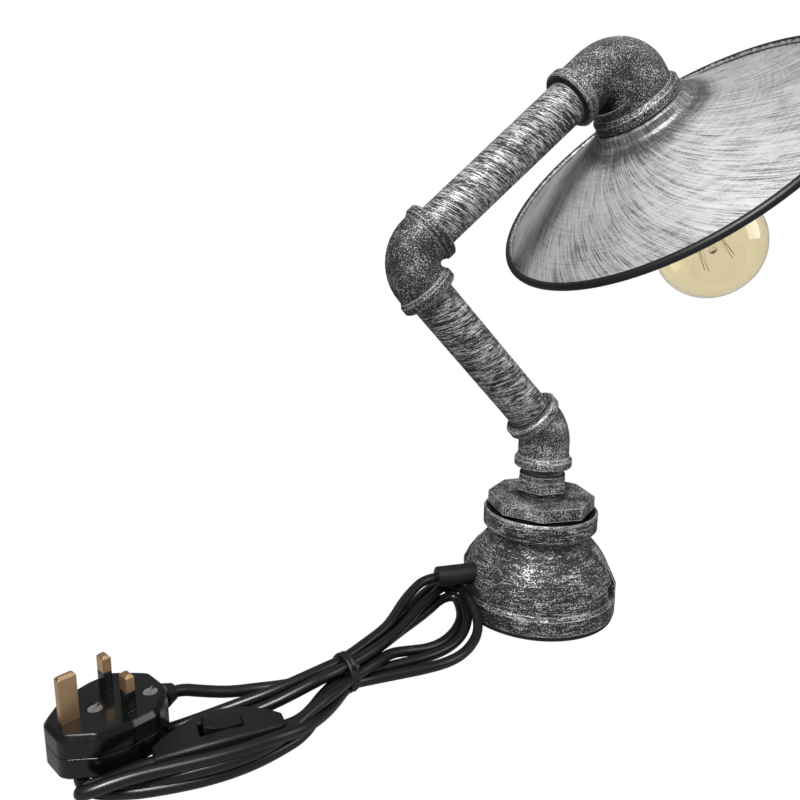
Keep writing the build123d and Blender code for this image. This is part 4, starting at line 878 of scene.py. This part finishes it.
def build_world() -> None:
    """White surround for the camera, a softer grey one for the light."""
    world = bpy.data.worlds.new("Studio")
    bpy.context.scene.world = world
    world.use_nodes = True
    tree = world.node_tree
    tree.nodes.clear()
    path = tree.nodes.new("ShaderNodeLightPath")
    coords = tree.nodes.new("ShaderNodeTexCoord")
    split = tree.nodes.new("ShaderNodeSeparateXYZ")
    ramp = tree.nodes.new("ShaderNodeMapRange")
    dim = tree.nodes.new("ShaderNodeBackground")
    white = tree.nodes.new("ShaderNodeBackground")
    mix = tree.nodes.new("ShaderNodeMixShader")
    out = tree.nodes.new("ShaderNodeOutputWorld")
    ramp.inputs["From Min"].default_value = -0.2
    ramp.inputs["From Max"].default_value = 0.9
    ramp.inputs["To Min"].default_value = SURROUND_BELOW
    ramp.inputs["To Max"].default_value = SURROUND_ABOVE
    white.inputs["Strength"].default_value = 1.0
    white.inputs["Color"].default_value = (1.0, 1.0, 1.0, 1.0)
    tree.links.new(coords.outputs["Generated"], split.inputs[0])
    tree.links.new(split.outputs[2], ramp.inputs["Value"])
    tree.links.new(ramp.outputs["Result"], dim.inputs["Strength"])
    clear = tree.nodes.new("ShaderNodeMath")
    clear.operation = "MAXIMUM"
    tree.links.new(path.outputs["Is Camera Ray"], clear.inputs[0])
    tree.links.new(path.outputs["Is Transmission Ray"], clear.inputs[1])
    tree.links.new(clear.outputs[0], mix.inputs[0])
    tree.links.new(dim.outputs[0], mix.inputs[1])
    tree.links.new(white.outputs[0], mix.inputs[2])
    tree.links.new(mix.outputs[0], out.inputs["Surface"])


def build_floor() -> None:
    """Ground plane under the lamp."""
    mesh = bpy.data.meshes.new("floor")
    shape = bmesh.new()
    bmesh.ops.create_grid(shape, x_segments=1, y_segments=1, size=FLOOR_SIZE)
    shape.to_mesh(mesh)
    shape.free()
    floor = bpy.data.objects.new("floor", mesh)
    floor.location = (0.0, 0.0, -FLOOR_DROP)
    mesh.materials.append(studio_floor("Studio floor"))
    bpy.context.scene.collection.objects.link(floor)


def set_render() -> None:
    """Render size, engine and plain view transform."""
    scene = bpy.context.scene
    scene.render.engine = "CYCLES"
    scene.cycles.samples = 128
    scene.cycles.use_denoising = True
    scene.cycles.max_bounces = 10
    scene.cycles.transmission_bounces = 10
    scene.render.resolution_x = 800
    scene.render.resolution_y = 800
    scene.render.film_transparent = False
    scene.view_settings.view_transform = "Standard"
    scene.view_settings.look = "None"


def main() -> None:
    """Build the whole scene."""
    logging.basicConfig(level=logging.INFO)
    palette = Palette()
    paint_nodes(palette)
    cord = Cord(CORD_ROUTE)
    cord.declare(cord.build(palette.cord))
    Filament().build(palette.wire)
    build_world()
    build_floor()
    for light in STUDIO_LIGHTS:
        light.build()
    StudioCamera().build()
    set_render()


if __name__ == "__main__":
    main()
